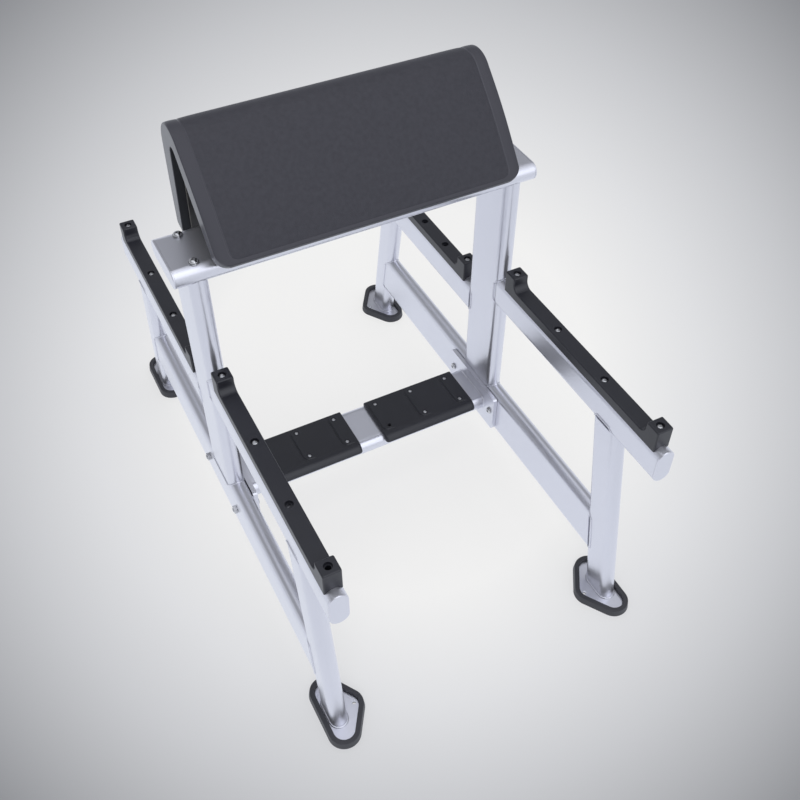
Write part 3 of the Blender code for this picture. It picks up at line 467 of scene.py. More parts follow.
def skin(rings, loop=False):
    bm = bmesh.new()
    rows = [[bm.verts.new(point) for point in ring] for ring in rings]
    pairs = list(zip(rows, rows[1:]))
    if loop:
        pairs.append((rows[-1], rows[0]))
    for low, high in pairs:
        for index in range(len(low)):
            after = (index + 1) % len(low)
            bm.faces.new((low[index], low[after], high[after], high[index]))
    if not loop:
        bm.faces.new(rows[0])
        bm.faces.new(rows[-1])
    return bm


def moved(bm, matrix):
    bmesh.ops.transform(bm, matrix=matrix, verts=bm.verts)
    return bm


def newPiece(name, bm, matrix=None):
    bmesh.ops.remove_doubles(bm, verts=bm.verts, dist=0.000002)
    if matrix:
        moved(bm, matrix)
    bmesh.ops.recalc_face_normals(bm, faces=bm.faces)
    if bm.calc_volume(signed=True) < 0:
        bmesh.ops.reverse_faces(bm, faces=bm.faces)
    mesh = bpy.data.meshes.new(name)
    bm.to_mesh(mesh)
    bm.free()
    return addObject(name, mesh)


def twin(thing, name, matrix):
    bm = bmesh.new()
    bm.from_mesh(thing.data)
    return newPiece(name, bm, matrix)


def joined(name, parts):
    bm = bmesh.new()
    for part in parts:
        mesh = bpy.data.meshes.new("part")
        part.to_mesh(mesh)
        part.free()
        bm.from_mesh(mesh)
        bpy.data.meshes.remove(mesh)
    return newPiece(name, bm)


def remove(*things):
    for thing in things:
        bpy.data.objects.remove(thing, do_unlink=True)


def bake(thing):
    bpy.context.view_layer.update()
    graph = bpy.context.evaluated_depsgraph_get()
    made = bpy.data.meshes.new_from_object(thing.evaluated_get(graph), preserve_all_data_layers=True,
                                           depsgraph=graph)
    thing.modifiers.clear()
    thing.data = made
    made.name = thing.name
    return thing


def cutWith(thing, tool):
    modifier = thing.modifiers.new("cut", "BOOLEAN")
    modifier.operation = "DIFFERENCE"
    modifier.solver = "EXACT"
    modifier.object = tool
    bake(thing)
    remove(tool)
    return thing


# stepped cutter for a screw: wide from the face down to deep, narrow from there
def pinTool(place, deep, wide, narrow, below):
    rings = []
    for size, height in ((narrow, -below), (narrow, -deep), (wide, -deep), (wide, 0.012)):
        rings.append(raised(arcPoints(0, 0, size / 2, 5, 353.75, 31), height))
    return moved(skin(rings), Matrix.Translation(place))


def addShading(thing):
    thing.modifiers.new("smooth", "NODES").node_group = smoothTree
    soft = thing.modifiers.new("soft", "WEIGHTED_NORMAL")
    soft.keep_sharp = True
    soft.weight = 100


def finishPiece(thing, material, slot, *nodes):
    if material:
        thing.data.materials.clear()
        thing.data.materials.append(materials[material])
    addShading(thing)
    bake(thing)
    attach(thing, "root")
    if nodes:
        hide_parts(*nodes)
    return thing


def runTree(thing, label, tree, values):
    modifier = thing.modifiers.new(label, "NODES")
    modifier.node_group = tree
    for socket in tree.interface.items_tree:
        if socket.item_type == "SOCKET" and socket.in_out == "INPUT" and socket.name in values:
            modifier[socket.identifier] = values[socket.name]
    return bake(thing)


# seats are points, each with the way that its piece faces and its turn about that
def scatter(name, master, seats, material):
    mesh = bpy.data.meshes.new(name)
    mesh.from_pydata([seat[0] for seat in seats], [], [])
    mesh.attributes.new("aim", "FLOAT_VECTOR", "POINT")
    mesh.attributes.new("spin", "FLOAT", "POINT")
    mesh.attributes["aim"].data.foreach_set("vector", [value for seat in seats for value in seat[1]])
    mesh.attributes["spin"].data.foreach_set("value", [seat[2] for seat in seats])
    values = {"Master": master, "Size": 1.0, "Finish": materials[material]}
    return runTree(addObject(name, mesh), "place", placeTree, values)


# arm pad: the places of its section are (y, z)
pad = {
    "length": 0.641,
    "crown": (0.076, 1.0032),
    "crownRadius": 0.058,
    "hollow": (0.0680, 1.0025),
    "hollowRadius": 0.0185,
    "frontLip": (-0.1076, 0.8681),
    "rearLip": (0.1290, 0.7770),
    "lipRadius": 0.015,
    "lipDepth": 0.0034,
    "bulge": {"frontOuter": 0.0050, "rearOuter": 0.0020},
    "corner": {"front": 0.028, "rear": 0.044},
    "cornerRun": 0.06,
    "edgeRoll": 0.0026,
    "innerRoll": 0.0016,
    "taper": 0.0014,
    "taperFrom": 0.05,
    "taperRun": 0.15,
    "shift": 0.0012,
    "seamFromEnd": 0.026,
    "seamFromLip": 0.006,
    "seamCorner": 0.017,
    "seamDepth": 0.0003,
    "seamWidth": 0.0014,
    "puff": 0.0009,
    "puffWidth": 0.009,
    "endFade": 0.012,
    "endFine": 0.002,
    "seamFine": 0.0005,
    "nearSeam": 0.001,
    "fine": 0.008,
    "coarse": 0.009,
    "heldWidth": 0.0032,
    "pressure": 4.0,
    "frames": 20,
    "mostSwell": 0.0022,
    "cloth": {"quality": 6, "mass": 0.25, "tension_stiffness": 40, "compression_stiffness": 40,
              "shear_stiffness": 20, "bending_stiffness": 8, "vertex_group_mass": "held",
              "use_pressure": True},
    "endFacing": 0.2,
    "lipMiddle": 7,
}


def tangentLine(centreA, radiusA, centreB, radiusB, outward):
    across = centreB - centreA
    along = across.normalized()
    cosine = (radiusA - radiusB) / across.length
    upright = Vector((-along.y, along.x)) * math.sqrt(1 - cosine * cosine)
    normal = along * cosine + upright
    if normal.dot(outward) < 0:
        normal = along * cosine - upright
    return centreA + normal * radiusA, centreB + normal * radiusB, normal


# the pad's walls at a distance from its end, each as its high end, its low end and its normal
def padWalls(distance):
    outerRoll = rolled(pad["edgeRoll"], distance)
    innerRoll = rolled(pad["innerRoll"], distance)
    radii = {"crown": pad["crownRadius"] - outerRoll, "hollow": pad["hollowRadius"] + innerRoll}
    lipRadius = pad["lipRadius"]
    walls = {}
    for wall, outward in (("rear", Vector((1, 0))), ("front", Vector((-1, 1)))):
        rise = rolled(pad["corner"][wall], distance)
        lip = Vector(pad[wall + "Lip"])
        outer = tangentLine(Vector(pad["crown"]), radii["crown"], lip, lipRadius - outerRoll, outward)
        inner = tangentLine(Vector(pad["hollow"]), radii["hollow"], lip, innerRoll - lipRadius, outward)
        for key, (high, low, normal) in ((wall + "Outer", outer), (wall + "Inner", inner)):
            walls[key] = (high, low + (high - low).normalized() * rise, normal)
    return walls, radii


wallReach = {key: (wall[0] - wall[1]).length for key, wall in padWalls(1.0)[0].items()}


# along the pad's skin from the rear lip over the crown to the front lip, then back inside
def padStations(fine):
    step = pad["fine"] if fine else pad["coarse"]
    turn = 1 / 24 if fine else 1 / 12
    start = pad["seamFromLip"]
    lip = spread(0, start, start)
    if fine:
        start = pad["seamFromLip"] * 2 + 0.018
        lip = spread(0, pad["seamFromLip"] * 2, pad["seamFine"])
        lip += spread(pad["seamFromLip"] * 2, start, pad["nearSeam"])
    stations = [("rearOuter", place) for place in lip + spread(start, wallReach["rearOuter"], step)]
    stations += [("crown", share) for share in spread(0, 1, turn)]
    front = lip + spread(start, wallReach["frontOuter"], step) + [wallReach["frontOuter"]]
    stations += [("frontOuter", place) for place in reversed(front)]
    outerCount = len(stations)
    if fine:
        lipStep = 1 / 14
        for kind, first, gap in (("frontLip", lipStep, lipStep), ("frontInner", 0, 1 / 20),
                                 ("hollow", 0, lipStep), ("rearInner", 0, 1 / 24), ("rearLip", 0, lipStep)):
            stations += [(kind, share) for share in spread(first, 1, gap)]
    return stations, outerCount


def turned(kind, radii, startNormal, endNormal, share):
    first = math.atan2(startNormal.y, startNormal.x)
    sweep = math.atan2(endNormal.y, endNormal.x) - first
    sweep = (sweep + math.pi) % (2 * math.pi) - math.pi
    normal = Vector((math.cos(first + sweep * share), math.sin(first + sweep * share)))
    return Vector(pad[kind]) + normal * radii[kind], normal


def lipPoint(first, last, share):
    middle = (first + last) / 2
    half = first - middle
    tip = Vector((-half.y, half.x)).normalized() * pad["lipDepth"]
    away = half * math.cos(math.pi * share) + tip * math.sin(math.pi * share)
    return middle + away, away.normalized()


# distance from the seam, over the skin: below nought on the main panel, above it on the border
def seamGap(x, fromLip):
    radius = pad["seamCorner"]
    over = abs(x) - (pad["length"] / 2 - pad["seamFromEnd"] - radius)
    under = pad["seamFromLip"] + radius - fromLip
    return math.hypot(max(over, 0), max(under, 0)) + min(max(over, under), 0) - radius


def padPoint(x, section, station, swell=0.0):
    walls, radii = section
    kind, value = station
    fromLip = 1.0 if kind == "crown" else None
    if kind in ("rearOuter", "frontOuter"):
        high, low, normal = walls[kind]
        fixed = pad["cornerRun"]
        run = value
        if value > fixed:
            run = fixed + (value - fixed) * ((high - low).length - fixed) / (wallReach[kind] - fixed)
        fromLip = value
        point = low + (high - low).normalized() * run
        point = point + normal * pad["bulge"][kind] * math.sin(math.pi * value / wallReach[kind])
    elif kind in ("frontInner", "rearInner"):
        high, low, normal = walls[kind]
        point = low.lerp(high, value) if kind == "frontInner" else high.lerp(low, value)
    elif kind == "crown":
        point, normal = turned(kind, radii, walls["rearOuter"][2], walls["frontOuter"][2], value)
    elif kind == "hollow":
        point, normal = turned(kind, radii, walls["frontInner"][2], walls["rearInner"][2], value)
    elif kind == "frontLip":
        point, normal = lipPoint(walls["frontOuter"][1], walls["frontInner"][1], value)
    else:
        point, normal = lipPoint(walls["rearInner"][1], walls["rearOuter"][1], value)
    gap = 1.0
    if fromLip is not None:
        gap = seamGap(x, fromLip)
        fromEnd = pad["length"] / 2 - abs(x)
        lift = pad["puff"] * (1 - math.exp(-abs(gap) / pad["puffWidth"])) + swell
        if gap > 0:
            lift *= min(1.0, fromEnd / pad["endFade"])
        lift -= pad["seamDepth"] * math.exp(-(gap / pad["seamWidth"]) ** 2)
        point = point + normal * lift * min(1.0, fromEnd / pad["edgeRoll"])
    share = min(1.0, max(0.0, (pad["taperFrom"] - point.x) / pad["taperRun"]))
    shrink = 1 - pad["taper"] * share / (pad["length"] / 2)
    return Vector((x * shrink + pad["shift"], point.x, point.y)), Vector((0, normal.x, normal.y)), gap


def padColumns(fine):
    half = pad["length"] / 2
    seam = pad["seamFromEnd"]
    if not fine:
        depths = [0.0, seam / 2] + spread(seam, half, pad["coarse"])
    else:
        roll = pad["edgeRoll"]
        depths = edgeDepths(roll, (90, 72, 54, 36, 18))
        bands = (roll, seam - 0.005, seam + 0.005, seam + 0.020, half)
        for low, high, step in zip(bands, bands[1:], ("endFine", "seamFine", "nearSeam", "fine")):
            depths += spread(low, high, pad[step])
    return fromBothEnds(-half, half, depths, [0.0])


def measured(points):
    runs = [0.0]
    for before, after in zip(points, points[1:]):
        runs.append(runs[-1] + (after - before).length)
    return runs


# the cover swells between its seams under the foam: cloth under pressure, held at seams and edges
def swellSkin():
    columns = padColumns(False)
    stations = padStations(False)[0]
    sections = [padWalls(pad["length"] / 2 - abs(x)) for x in columns]
    grid = [[padPoint(x, section, station) for station in stations] for x, section in zip(columns, sections)]
    runs = measured([spot[0] for spot in grid[len(columns) // 2]])
    rows = len(stations)
    mesh = bpy.data.meshes.new("padSkin")
    faces = [(i * rows + j, (i + 1) * rows + j, (i + 1) * rows + j + 1, i * rows + j + 1)
             for i in range(len(columns) - 1) for j in range(rows - 1)]
    mesh.from_pydata([spot[0] for line in grid for spot in line], [], faces)
    if mesh.polygons[0].normal.dot(grid[0][0][1]) < 0:
        mesh.flip_normals()
    thing = addObject("padSkin", mesh)
    held = thing.vertex_groups.new(name="held")
    for i, line in enumerate(grid):
        for j, spot in enumerate(line):
            rim = i in (0, len(columns) - 1) or j in (0, rows - 1)
            if rim or abs(spot[2]) < pad["heldWidth"]:
                held.add([i * rows + j], 1.0, "REPLACE")
    cloth = thing.modifiers.new("swell", "CLOTH")
    for key, value in pad["cloth"].items():
        setattr(cloth.settings, key, value)
    cloth.settings.uniform_pressure_force = pad["pressure"]
    cloth.settings.effector_weights.gravity = 0
    cloth.point_cache.frame_start = 1
    cloth.point_cache.frame_end = pad["frames"]
    for step in range(1, pad["frames"] + 1):
        scene.frame_set(step)
    graph = bpy.context.evaluated_depsgraph_get()
    after = thing.evaluated_get(graph).to_mesh()
    lifts = np.zeros((len(columns), rows))
    for i, line in enumerate(grid):
        for j, spot in enumerate(line):
            lifts[i, j] = (after.vertices[i * rows + j].co - spot[0]).dot(spot[1])
    scene.frame_set(1)
    remove(thing)
    top = float(lifts.max())
    print("pad cover swelled by up to", round(1000 * top, 2), "mm before the cap")
    lifts = np.clip(lifts, 0, None)
    if top > pad["mostSwell"]:
        lifts = pad["mostSwell"] * np.tanh(lifts / pad["mostSwell"])
    return columns, runs, lifts


# a bent end face, zipped from the front lip's middle to the rear lip's
def fillEnd(bm, ring, front, rear):
    outer = ring[rear + 1:] + ring[:front]
    inner = ring[rear - 1:front:-1]
    made = [bm.faces.new((ring[rear], outer[0], inner[0])), bm.faces.new((ring[front], inner[-1], outer[-1]))]
    i = 0
    j = 0
    while i < len(outer) - 1 or j < len(inner) - 1:
        onward = j == len(inner) - 1
        if not onward and i < len(outer) - 1:
            onward = (outer[i + 1].co - inner[j].co).length < (outer[i].co - inner[j + 1].co).length
        if onward:
            made.append(bm.faces.new((outer[i], outer[i + 1], inner[j])))
            i += 1
        else:
            made.append(bm.faces.new((outer[i], inner[j + 1], inner[j])))
            j += 1
    for face in made:
        face.material_index = 2


def buildPad():
    coarseColumns, coarseRuns, lifts = swellSkin()
    columns = padColumns(True)
    stations, outerCount = padStations(True)
    middle = [padPoint(0.0, padWalls(1.0), station)[0] for station in stations[:outerCount]]
    runs = np.array(measured(middle))
    runs = runs * (coarseRuns[-1] / runs[-1])
    alongSkin = np.array([np.interp(runs, coarseRuns, line) for line in lifts])
    rings = []
    gaps = []
    for x in columns:
        section = padWalls(pad["length"] / 2 - abs(x))
        swell = [float(np.interp(x, coarseColumns, alongSkin[:, j])) for j in range(outerCount)]
        swell += [0.0] * (len(stations) - outerCount)
        spots = [padPoint(x, section, station, lift) for station, lift in zip(stations, swell)]
        rings.append([spot[0] for spot in spots])
        gaps.append([spot[2] for spot in spots])
    bm = skin(rings)
    bm.faces.ensure_lookup_table()
    bm.normal_update()
    count = len(stations)
    # materials: 0 border, 1 main panel, 2 end faces in the painted sheen copy of the cover, 3 lining with
    # painted shade
    for i in range(len(columns) - 1):
        for j in range(count):
            face = bm.faces[i * count + j]
            after = (j + 1) % count
            total = gaps[i][j] + gaps[i][after] + gaps[i + 1][j] + gaps[i + 1][after]
            face.material_index = 1 if total < 0 else 0
            # faces turned towards the ends take the painted sheen copy of the cover
            if abs(face.normal.x) > pad["endFacing"]:
                face.material_index = 2
            # the hollow's inner faces take the lining, whose darker tone is painted shade
            elif stations[j][0] in ("frontInner", "hollow", "rearInner"):
                face.material_index = 3
    for cover in list(bm.faces)[-2:]:
        ring = list(cover.verts)
        bm.faces.remove(cover)
        fillEnd(bm, ring, outerCount + pad["lipMiddle"] - 1, count - pad["lipMiddle"])
    return newPiece("armPad", bm)


armPad = buildPad()
for name in ("padBorder", "padPanel", "padEnd", "padLining"):
    armPad.data.materials.append(materials[name])
finishPiece(armPad, None, "pad_cover", "arm_pad")
print("pad made:", len(armPad.data.polygons), "faces")

# bar racks
rack = {
    "start": 0.087,
    "length": 0.5424,
    "width": 0.0366,
    "seat": 0.0129,
    "skirt": 0.0085,
    "edge": 0.0028,
    "stopLength": 0.035,
    "stopHeight": 0.0306,
    "fillet": 0.016,
    "screws": (0.0175, 0.1848, 0.3531, 0.5249),
    "shortScrews": (0.0175, 0.1248, 0.2320, 0.5249),
    "bore": 0.0170,
    "boreDepth": 0.0062,
    "hole": 0.0115,
    "top": {-1: 0.5689, 1: 0.4641},
    "emptyHoles": {"front_left": (2, 3), "rear_right": (1, 2)},
}


def rackSide(inset, under):
    seat = rack["seat"] - inset
    top = rack["seat"] + rack["stopHeight"] - inset
    stop = rack["stopLength"] - inset
    fillet = rack["fillet"] + inset
    edge = rack["edge"]
    half = [(inset, under)]
    half += arcPoints(inset + edge, top - edge, edge, 180, 90, 6)
    half += arcPoints(stop - edge, top - edge, edge, 90, 0, 6)
    half += arcPoints(stop + fillet, seat + fillet, fillet, 180, 270, 14)
    return half + [(rack["length"] - along, height) for along, height in reversed(half)]


# how high the strip's face is at a screw, which may stand in a stop
def rackFace(along):
    inStop = along < rack["stopLength"] or along > rack["length"] - rack["stopLength"]
    return rack["seat"] + (rack["stopHeight"] if inStop else 0)


def buildRack(name, screws):
    half = rack["width"] / 2
    edge = rack["edge"]
    over = tubeHalf + seam
    middle = spread(-half + edge, half - edge, 0.0016)[1:]
    rings = []
    for x in fromBothEnds(-half, half, edgeDepths(edge, (90, 68, 45, 22, 0)), middle):
        onTube = math.sqrt(max(over * over - x * x, 0)) - tubeHalf
        outline = rackSide(rolled(edge, half - abs(x)), max(-rack["skirt"], onTube))
        rings.append([Vector((x, along, height)) for along, height in outline])
    thing = newPiece(name, skin(rings))
    tools = []
    for along in screws:
        face = rackFace(along)
        tools.append(pinTool(Vector((0, along, face)), rack["boreDepth"], rack["bore"], rack["hole"],
                             face + 0.004))
    return cutWith(thing, joined("rackTool", tools))


longRack = buildRack("rackMaster", rack["screws"])
shortRack = buildRack("rackMasterShort", rack["shortScrews"])
screwSeats = []
for end, side, node, tail in corners:
    short = node == "rear_right"
    matrix = Matrix.Rotation(0.0 if end > 0 else math.pi, 4, "Z")
    matrix.translation = Vector((side * frameX, end * rack["start"], rack["top"][end]))
    piece = twin(shortRack if short else longRack, "barRack" + tail, matrix)
    finishPiece(piece, "blackPlastic", "black_plastic", "bar_rack_" + node)
    for index, along in enumerate(rack["shortScrews"] if short else rack["screws"]):
        if index not in rack["emptyHoles"].get(node, ()):
            seat = matrix @ Vector((0, along, rackFace(along) - rack["boreDepth"]))
            screwSeats.append((seat, zAxis, 1.3 * len(screwSeats)))
remove(longRack, shortRack)
print("bar racks made")

# step treads
tread = {
    "length": 0.249,
    "innerX": 0.032,
    "thick": 0.0096,
    "rearY": 0.057,
    "noseY": -0.078,
    "noseRise": 0.0125,
    "noseRound": 0.024,
    "edge": 0.003,
    "corner": 0.008,
    "stepZ": 0.1674,
    "stepWidth": 0.131,
    "screwPitch": 0.0992,
    "screwY": 0.040,
    "recess": 0.010,
    "recessDepth": 0.0022,
    "hole": 0.0065,
    "holeDepth": 0.0145,
    "grooveWidth": 0.0050,
    "grooveDepth": 0.0016,
    "grooveTurn": 0.012,
    "grooveHook": 0.016,
    "groovePitch": 0.1022,
    "grooveInset": 0.0068,
    "grooveFront": -0.052,
    "grooveRear": 0.047,
}


def treadSide(sideRoll, noseRoll):
    over = tubeHalf + seam
    top = tread["stepZ"] + tubeHalf + tread["thick"] - sideRoll
    rear = tread["rearY"] - sideRoll
    noseZ = tread["stepZ"] + tread["noseRise"]
    straight = tread["stepWidth"] / 2 - tubeHalf
    rearTurn = math.degrees(math.acos(max(-1, min(1, (rear - straight) / over))))
    noseTurn = math.degrees(math.asin(tread["noseRise"] / over))
    outline = arcPoints(rear - tread["edge"], top - tread["edge"], tread["edge"], 0, 90, 6)
    for u, v in arcPoints(0, 0, 1, 90, 180, 18):
        outline.append((tread["noseY"] + noseRoll + tread["noseRound"] * (1 + u), noseZ + (top - noseZ) * v))
    outline += arcPoints(-straight, tread["stepZ"], over, 180 - noseTurn, 90, 8)
    outline += arcPoints(straight, tread["stepZ"], over, 90, rearTurn, 6)
    return outline


# a shallow groove past a pair of screws, hooked round the front one and fading out
def grooveTool(x, top):
    turn = tread["grooveTurn"]
    hook = tread["grooveHook"]
    front = tread["grooveFront"]
    rear = tread["grooveRear"]
    path = [(x + turn + hook, front, 0.0), (x + turn + hook * 0.5, front, 0.5)]
    path += [(u, v, 1.0) for u, v in arcPoints(x + turn, front + turn, turn, 270, 180, 6)]
    path += [(x, rear - turn, 1.0), (x, rear, 0.0)]
    rings = []
    for index, (u, v, share) in enumerate(path):
        before = path[max(index - 1, 0)]
        after = path[min(index + 1, len(path) - 1)]
        along = Vector((after[0] - before[0], after[1] - before[1], 0)).normalized()
        across = Vector((-along.y, along.x, 0)) * (tread["grooveWidth"] / 2 * (0.35 + 0.65 * share))
        deep = tread["grooveDepth"] * (0.12 + 0.88 * share)
        section = ((-0.35, -deep), (0.35, -deep), (1, 0), (1.9, 0.004), (-1.9, 0.004), (-1, 0))
        rings.append([Vector((u, v, top)) + across * wide + zAxis * rise for wide, rise in section])
    return skin(rings)


def buildTread(name, side):
    low = tread["innerX"] if side > 0 else -tread["innerX"] - tread["length"]
    high = low + tread["length"]
    rings = []
    for x in fromBothEnds(low, high, edgeDepths(tread["corner"], (90, 80, 68, 56, 44, 30, 15, 0))):
        distance = min(x - low, high - x)
        outline = treadSide(rolled(tread["edge"], distance), rolled(tread["corner"], distance))
        rings.append([Vector((x, y, z)) for y, z in outline])
    thing = newPiece(name, skin(rings))
    top = tread["stepZ"] + tubeHalf + tread["thick"]
    middle = low + tread["length"] / 2
    tools = []
    seats = []
    for step in (-1, 0, 1):
        for row in (-1, 1):
            place = Vector((middle + step * tread["screwPitch"], row * tread["screwY"], top))
            tools.append(pinTool(place, tread["recessDepth"], tread["recess"], tread["hole"],
                                 tread["holeDepth"]))
            # one hole of the right tread is empty
            if (side, step, row) != (1, -1, -1):
                seats.append((place - zAxis * tread["recessDepth"], zAxis, 0.7 * len(tools)))
    for step in range(3):
        tools.append(grooveTool(low + tread["grooveInset"] + step * tread["groovePitch"], top))
    return cutWith(thing, joined("treadTool", tools)), seats


treadSeats = []
for sideName, side in sides.items():
    piece, seats = buildTread("stepTread" + sideName.capitalize(), side)
    finishPiece(piece, "blackPlastic", "black_plastic", "step_tread_" + sideName)
    treadSeats += seats
print("treads made")

# feet: u runs outwards from the leg's middle, v along the bench
foot = {
    "centreY": 0.5703,
    "halfLength": 0.0848,
    "sideU": 0.0366,
    "apexU": -0.0675,
    "cornerRadius": 0.0362,
    "apexRadius": 0.0365,
    "rim": 0.0128,
    "draft": 0.0020,
    "height": 0.0184,
    "floor": 0.003,
    "edge": 0.0016,
    "plateThick": 0.0055,
    "plateEdge": 0.0008,
    "hole": 0.009,
    "holeU": -0.045,
}


def footOutline(inset, steps=20):
    cornerRadius = foot["cornerRadius"] - inset
    apexRadius = foot["apexRadius"] - inset
    cornerU = foot["sideU"] - foot["cornerRadius"]
    cornerV = foot["halfLength"] - foot["cornerRadius"]
    apexU = foot["apexU"] + foot["apexRadius"]
    normal = tangentLine(Vector((cornerU, cornerV)), cornerRadius, Vector((apexU, 0)), apexRadius,
                         Vector((0, 1)))[2]
    turn = math.degrees(math.atan2(normal.y, normal.x))
    outline = arcPoints(cornerU, cornerV, cornerRadius, 0, turn, steps)
    outline += arcPoints(apexU, 0, apexRadius, turn, 360 - turn, steps)
    return outline + arcPoints(cornerU, -cornerV, cornerRadius, 360 - turn, 360, steps)


def drilledFoot(name, rings):
    hole = arcPoints(foot["holeU"], 0, foot["hole"] / 2, 4, 352.75, 31)
    tool = newPiece("footTool", skin([raised(hole, -0.01), raised(hole, 0.03)]))
    return cutWith(newPiece(name, skin(rings)), tool)


def buildRubber():
    edge = foot["edge"]
    height = foot["height"]
    inner = foot["rim"]
    rings = [raised(footOutline(edge / 2), 0), raised(footOutline(0.0), edge / 2)]
    rings += roundedTop(footOutline, edge, foot["draft"], height, (0, 18, 36, 54, 72, 90))
    for angle in (0, 30, 60, 90):
        turn = math.radians(angle)
        inset = inner - foot["plateEdge"] * (1 - math.sin(turn))
        rings.append(raised(footOutline(inset), height - foot["plateEdge"] * (1 - math.cos(turn))))
    rings.append(raised(footOutline(inner), foot["floor"]))
    return drilledFoot("rubberMaster", rings)


def buildFootPlate():
    low = foot["floor"] + seam
    high = low + foot["plateThick"]
    edge = foot["plateEdge"]
    start = foot["rim"] + seam
    rings = [raised(footOutline(start), low), raised(footOutline(start), high - edge)]
    return drilledFoot("plateMaster", rings + roundedTop(footOutline, edge, start, high, (30, 60, 90)))


rubber = buildRubber()
plate = buildFootPlate()
for end, side, node, tail in corners:
    matrix = Matrix.Rotation(0.0 if side > 0 else math.pi, 4, "Z")
    matrix.translation = Vector((side * frameX, end * foot["centreY"], 0))
    piece = twin(rubber, "footRubber" + tail, matrix)
    finishPiece(piece, "blackRubber", "black_rubber", "foot_rubber_" + node)
    piece = twin(plate, "footPlate" + tail, matrix)
    finishPiece(piece, "silverPaint", "silver_paint", "foot_plate_" + node)
remove(rubber, plate)
print("feet made")

# end caps
cap = {
    "thick": 0.004,
    "edge": 0.0020,
    "plug": 0.012,
    "wall": 0.0025,
    "armEnd": 0.6487,
    "beamHalf": 0.3925,
    "armWidth": 0.0816,
    "beamWidth": 0.137,
    "beamTop": 0.8514,
}


def buildCap(name, seat, aim, wide, width, node):
    across = aim.cross(wide).normalized()
    matrix = Matrix((across.cross(aim), across, aim)).transposed().to_4x4()
    matrix.translation = seat
    plug = flatOval(width, cap["wall"] + seam)
    rings = [raised(plug, -cap["plug"]), raised(plug, seam), raised(flatOval(width), seam)]
    rings += roundedTop(lambda inset: flatOval(width, inset), cap["edge"], 0, seam + cap["thick"],
                        (0, 22, 45, 68, 90))
    finishPiece(newPiece(name, skin(rings), matrix), "silverPaint", "silver_paint", node)


for sideName, side in sides.items():
    seat = Vector((side * (cap["beamHalf"] - cap["thick"] - seam), 0, cap["beamTop"] - tubeHalf))
    buildCap("beamCap" + sideName.capitalize(), seat, side * xAxis, yAxis, cap["beamWidth"],
             "pad_beam_cap_" + sideName)
    for end, where, node, tail in corners:
        if where == side:
            seat = Vector((side * frameX, end * (cap["armEnd"] - cap["thick"] - seam),
                           rack["top"][end] - cap["armWidth"] / 2))
            buildCap("armCap" + tail, seat, end * yAxis, zAxis, cap["armWidth"], "rack_arm_cap_" + node)
print("end caps made")

# bolts, washers, nuts and screws
fixing = {
    "bolt": 0.010,
    "head": 0.0175,
    "headHeight": 0.0055,
    "socket": 0.006,
    "socketDepth": 0.003,
    "washer": 0.021,
    "washerThick": 0.0018,
    "bore": 0.0054,
    "nutWidth": 0.017,
    "nutHeight": 0.008,
    "tip": 0.002,
    "pitch": 0.0015,
    "threads": 4,
    "beamY": 0.046,
    "railY": 0.090,
    "railZ": 0.1704,
    "flange": 0.010,
    "topPlate": 0.008,
    "screw": {"radius": 0.0065, "height": 0.0034, "socket": 0.0062, "socketDepth": 0.0027, "shank": 0.0028,
              "length": 0.004},
    "treadScrew": (0.70, 0.70, 0.60, 1.0),
}


def ringOf(radius, height, steps=32):
    return raised(arcPoints(0, 0, radius, 0, 360 - 360 / steps, steps - 1), height)


def buttonHead(name, radius, height, socket, socketDepth, shank, length, threads=0):
    start = -length + shank * 0.18
    rings = [ringOf(shank * 0.82, -length), ringOf(shank, start)]
    for step in range(threads):
        low = start + step * fixing["pitch"]
        rings.append(ringOf(shank * 0.93, low + fixing["pitch"] * 0.5))
        rings.append(ringOf(shank, low + fixing["pitch"]))
    rings += [ringOf(shank, 0), ringOf(radius * 0.97, 0), ringOf(radius, height * 0.06),
              ringOf(radius, height * 0.22)]
    domeAngles = [math.radians(angle) for angle in (14, 28, 42, 56, 66)]
    for turn in domeAngles:
        rise = math.sin(turn) / math.sin(domeAngles[-1])
        rings.append(ringOf(radius * math.cos(turn), height * (0.22 + 0.78 * rise)))
    hexagon = arcPoints(0, 0, socket / math.sqrt(3), 0, 300, 5)
    chamfer = arcPoints(0, 0, socket / math.sqrt(3) * 1.16, 0, 300, 5)
    tool = skin([raised(hexagon, height - socketDepth), raised(hexagon, height - 0.0004),
                 raised(chamfer, height + 0.0001), raised(chamfer, height + 0.004)])
    return cutWith(newPiece(name, skin(rings)), newPiece("socketTool", tool))


def buildBolt(grip):
    return buttonHead("boltMaster", fixing["head"] / 2, fixing["headHeight"], fixing["socket"],
                      fixing["socketDepth"], fixing["bolt"] / 2, grip, fixing["threads"])


def buildNut():
    width = fixing["nutWidth"]
    height = fixing["nutHeight"]
    bore = fixing["bore"]
    steps = 48

    def hexagon(shrink, top):
        points = []
        for step in range(steps):
            angle = 2 * math.pi * step / steps
            flat = angle % (math.pi / 3) - math.pi / 6
            reach = min(width / 2 / math.cos(flat), width / 2 * shrink)
            points.append(Vector((reach * math.cos(angle), reach * math.sin(angle), top)))
        return points

    edge = 0.0006
    rings = [hexagon(1.02, 0.0), hexagon(1.10, edge), hexagon(1.2, 0.0014), hexagon(1.2, height - 0.0014),
             hexagon(1.10, height - edge), hexagon(1.02, height)]
    for radius, level in ((bore + edge, height), (bore, height - edge), (bore, edge), (bore + edge, 0.0)):
        rings.append(ringOf(radius, level, steps))
    return newPiece("nutMaster", skin(rings, True))


def buildWasher():
    outer = fixing["washer"] / 2
    thick = fixing["washerThick"]
    rings = [ringOf(outer - 0.0003, 0.0), ringOf(outer, 0.0003), ringOf(outer, thick - 0.0004),
             ringOf(outer - 0.0004, thick), ringOf(fixing["bore"], thick), ringOf(fixing["bore"], 0.0)]
    return newPiece("washerMaster", skin(rings, True))


def setFixings(name, master, seats, start):
    made = scatter(name, master, seats, "brightSteel")
    remove(master)
    finishPiece(made, None, "bolt_steel", *[start + node for _, _, node, _ in corners])


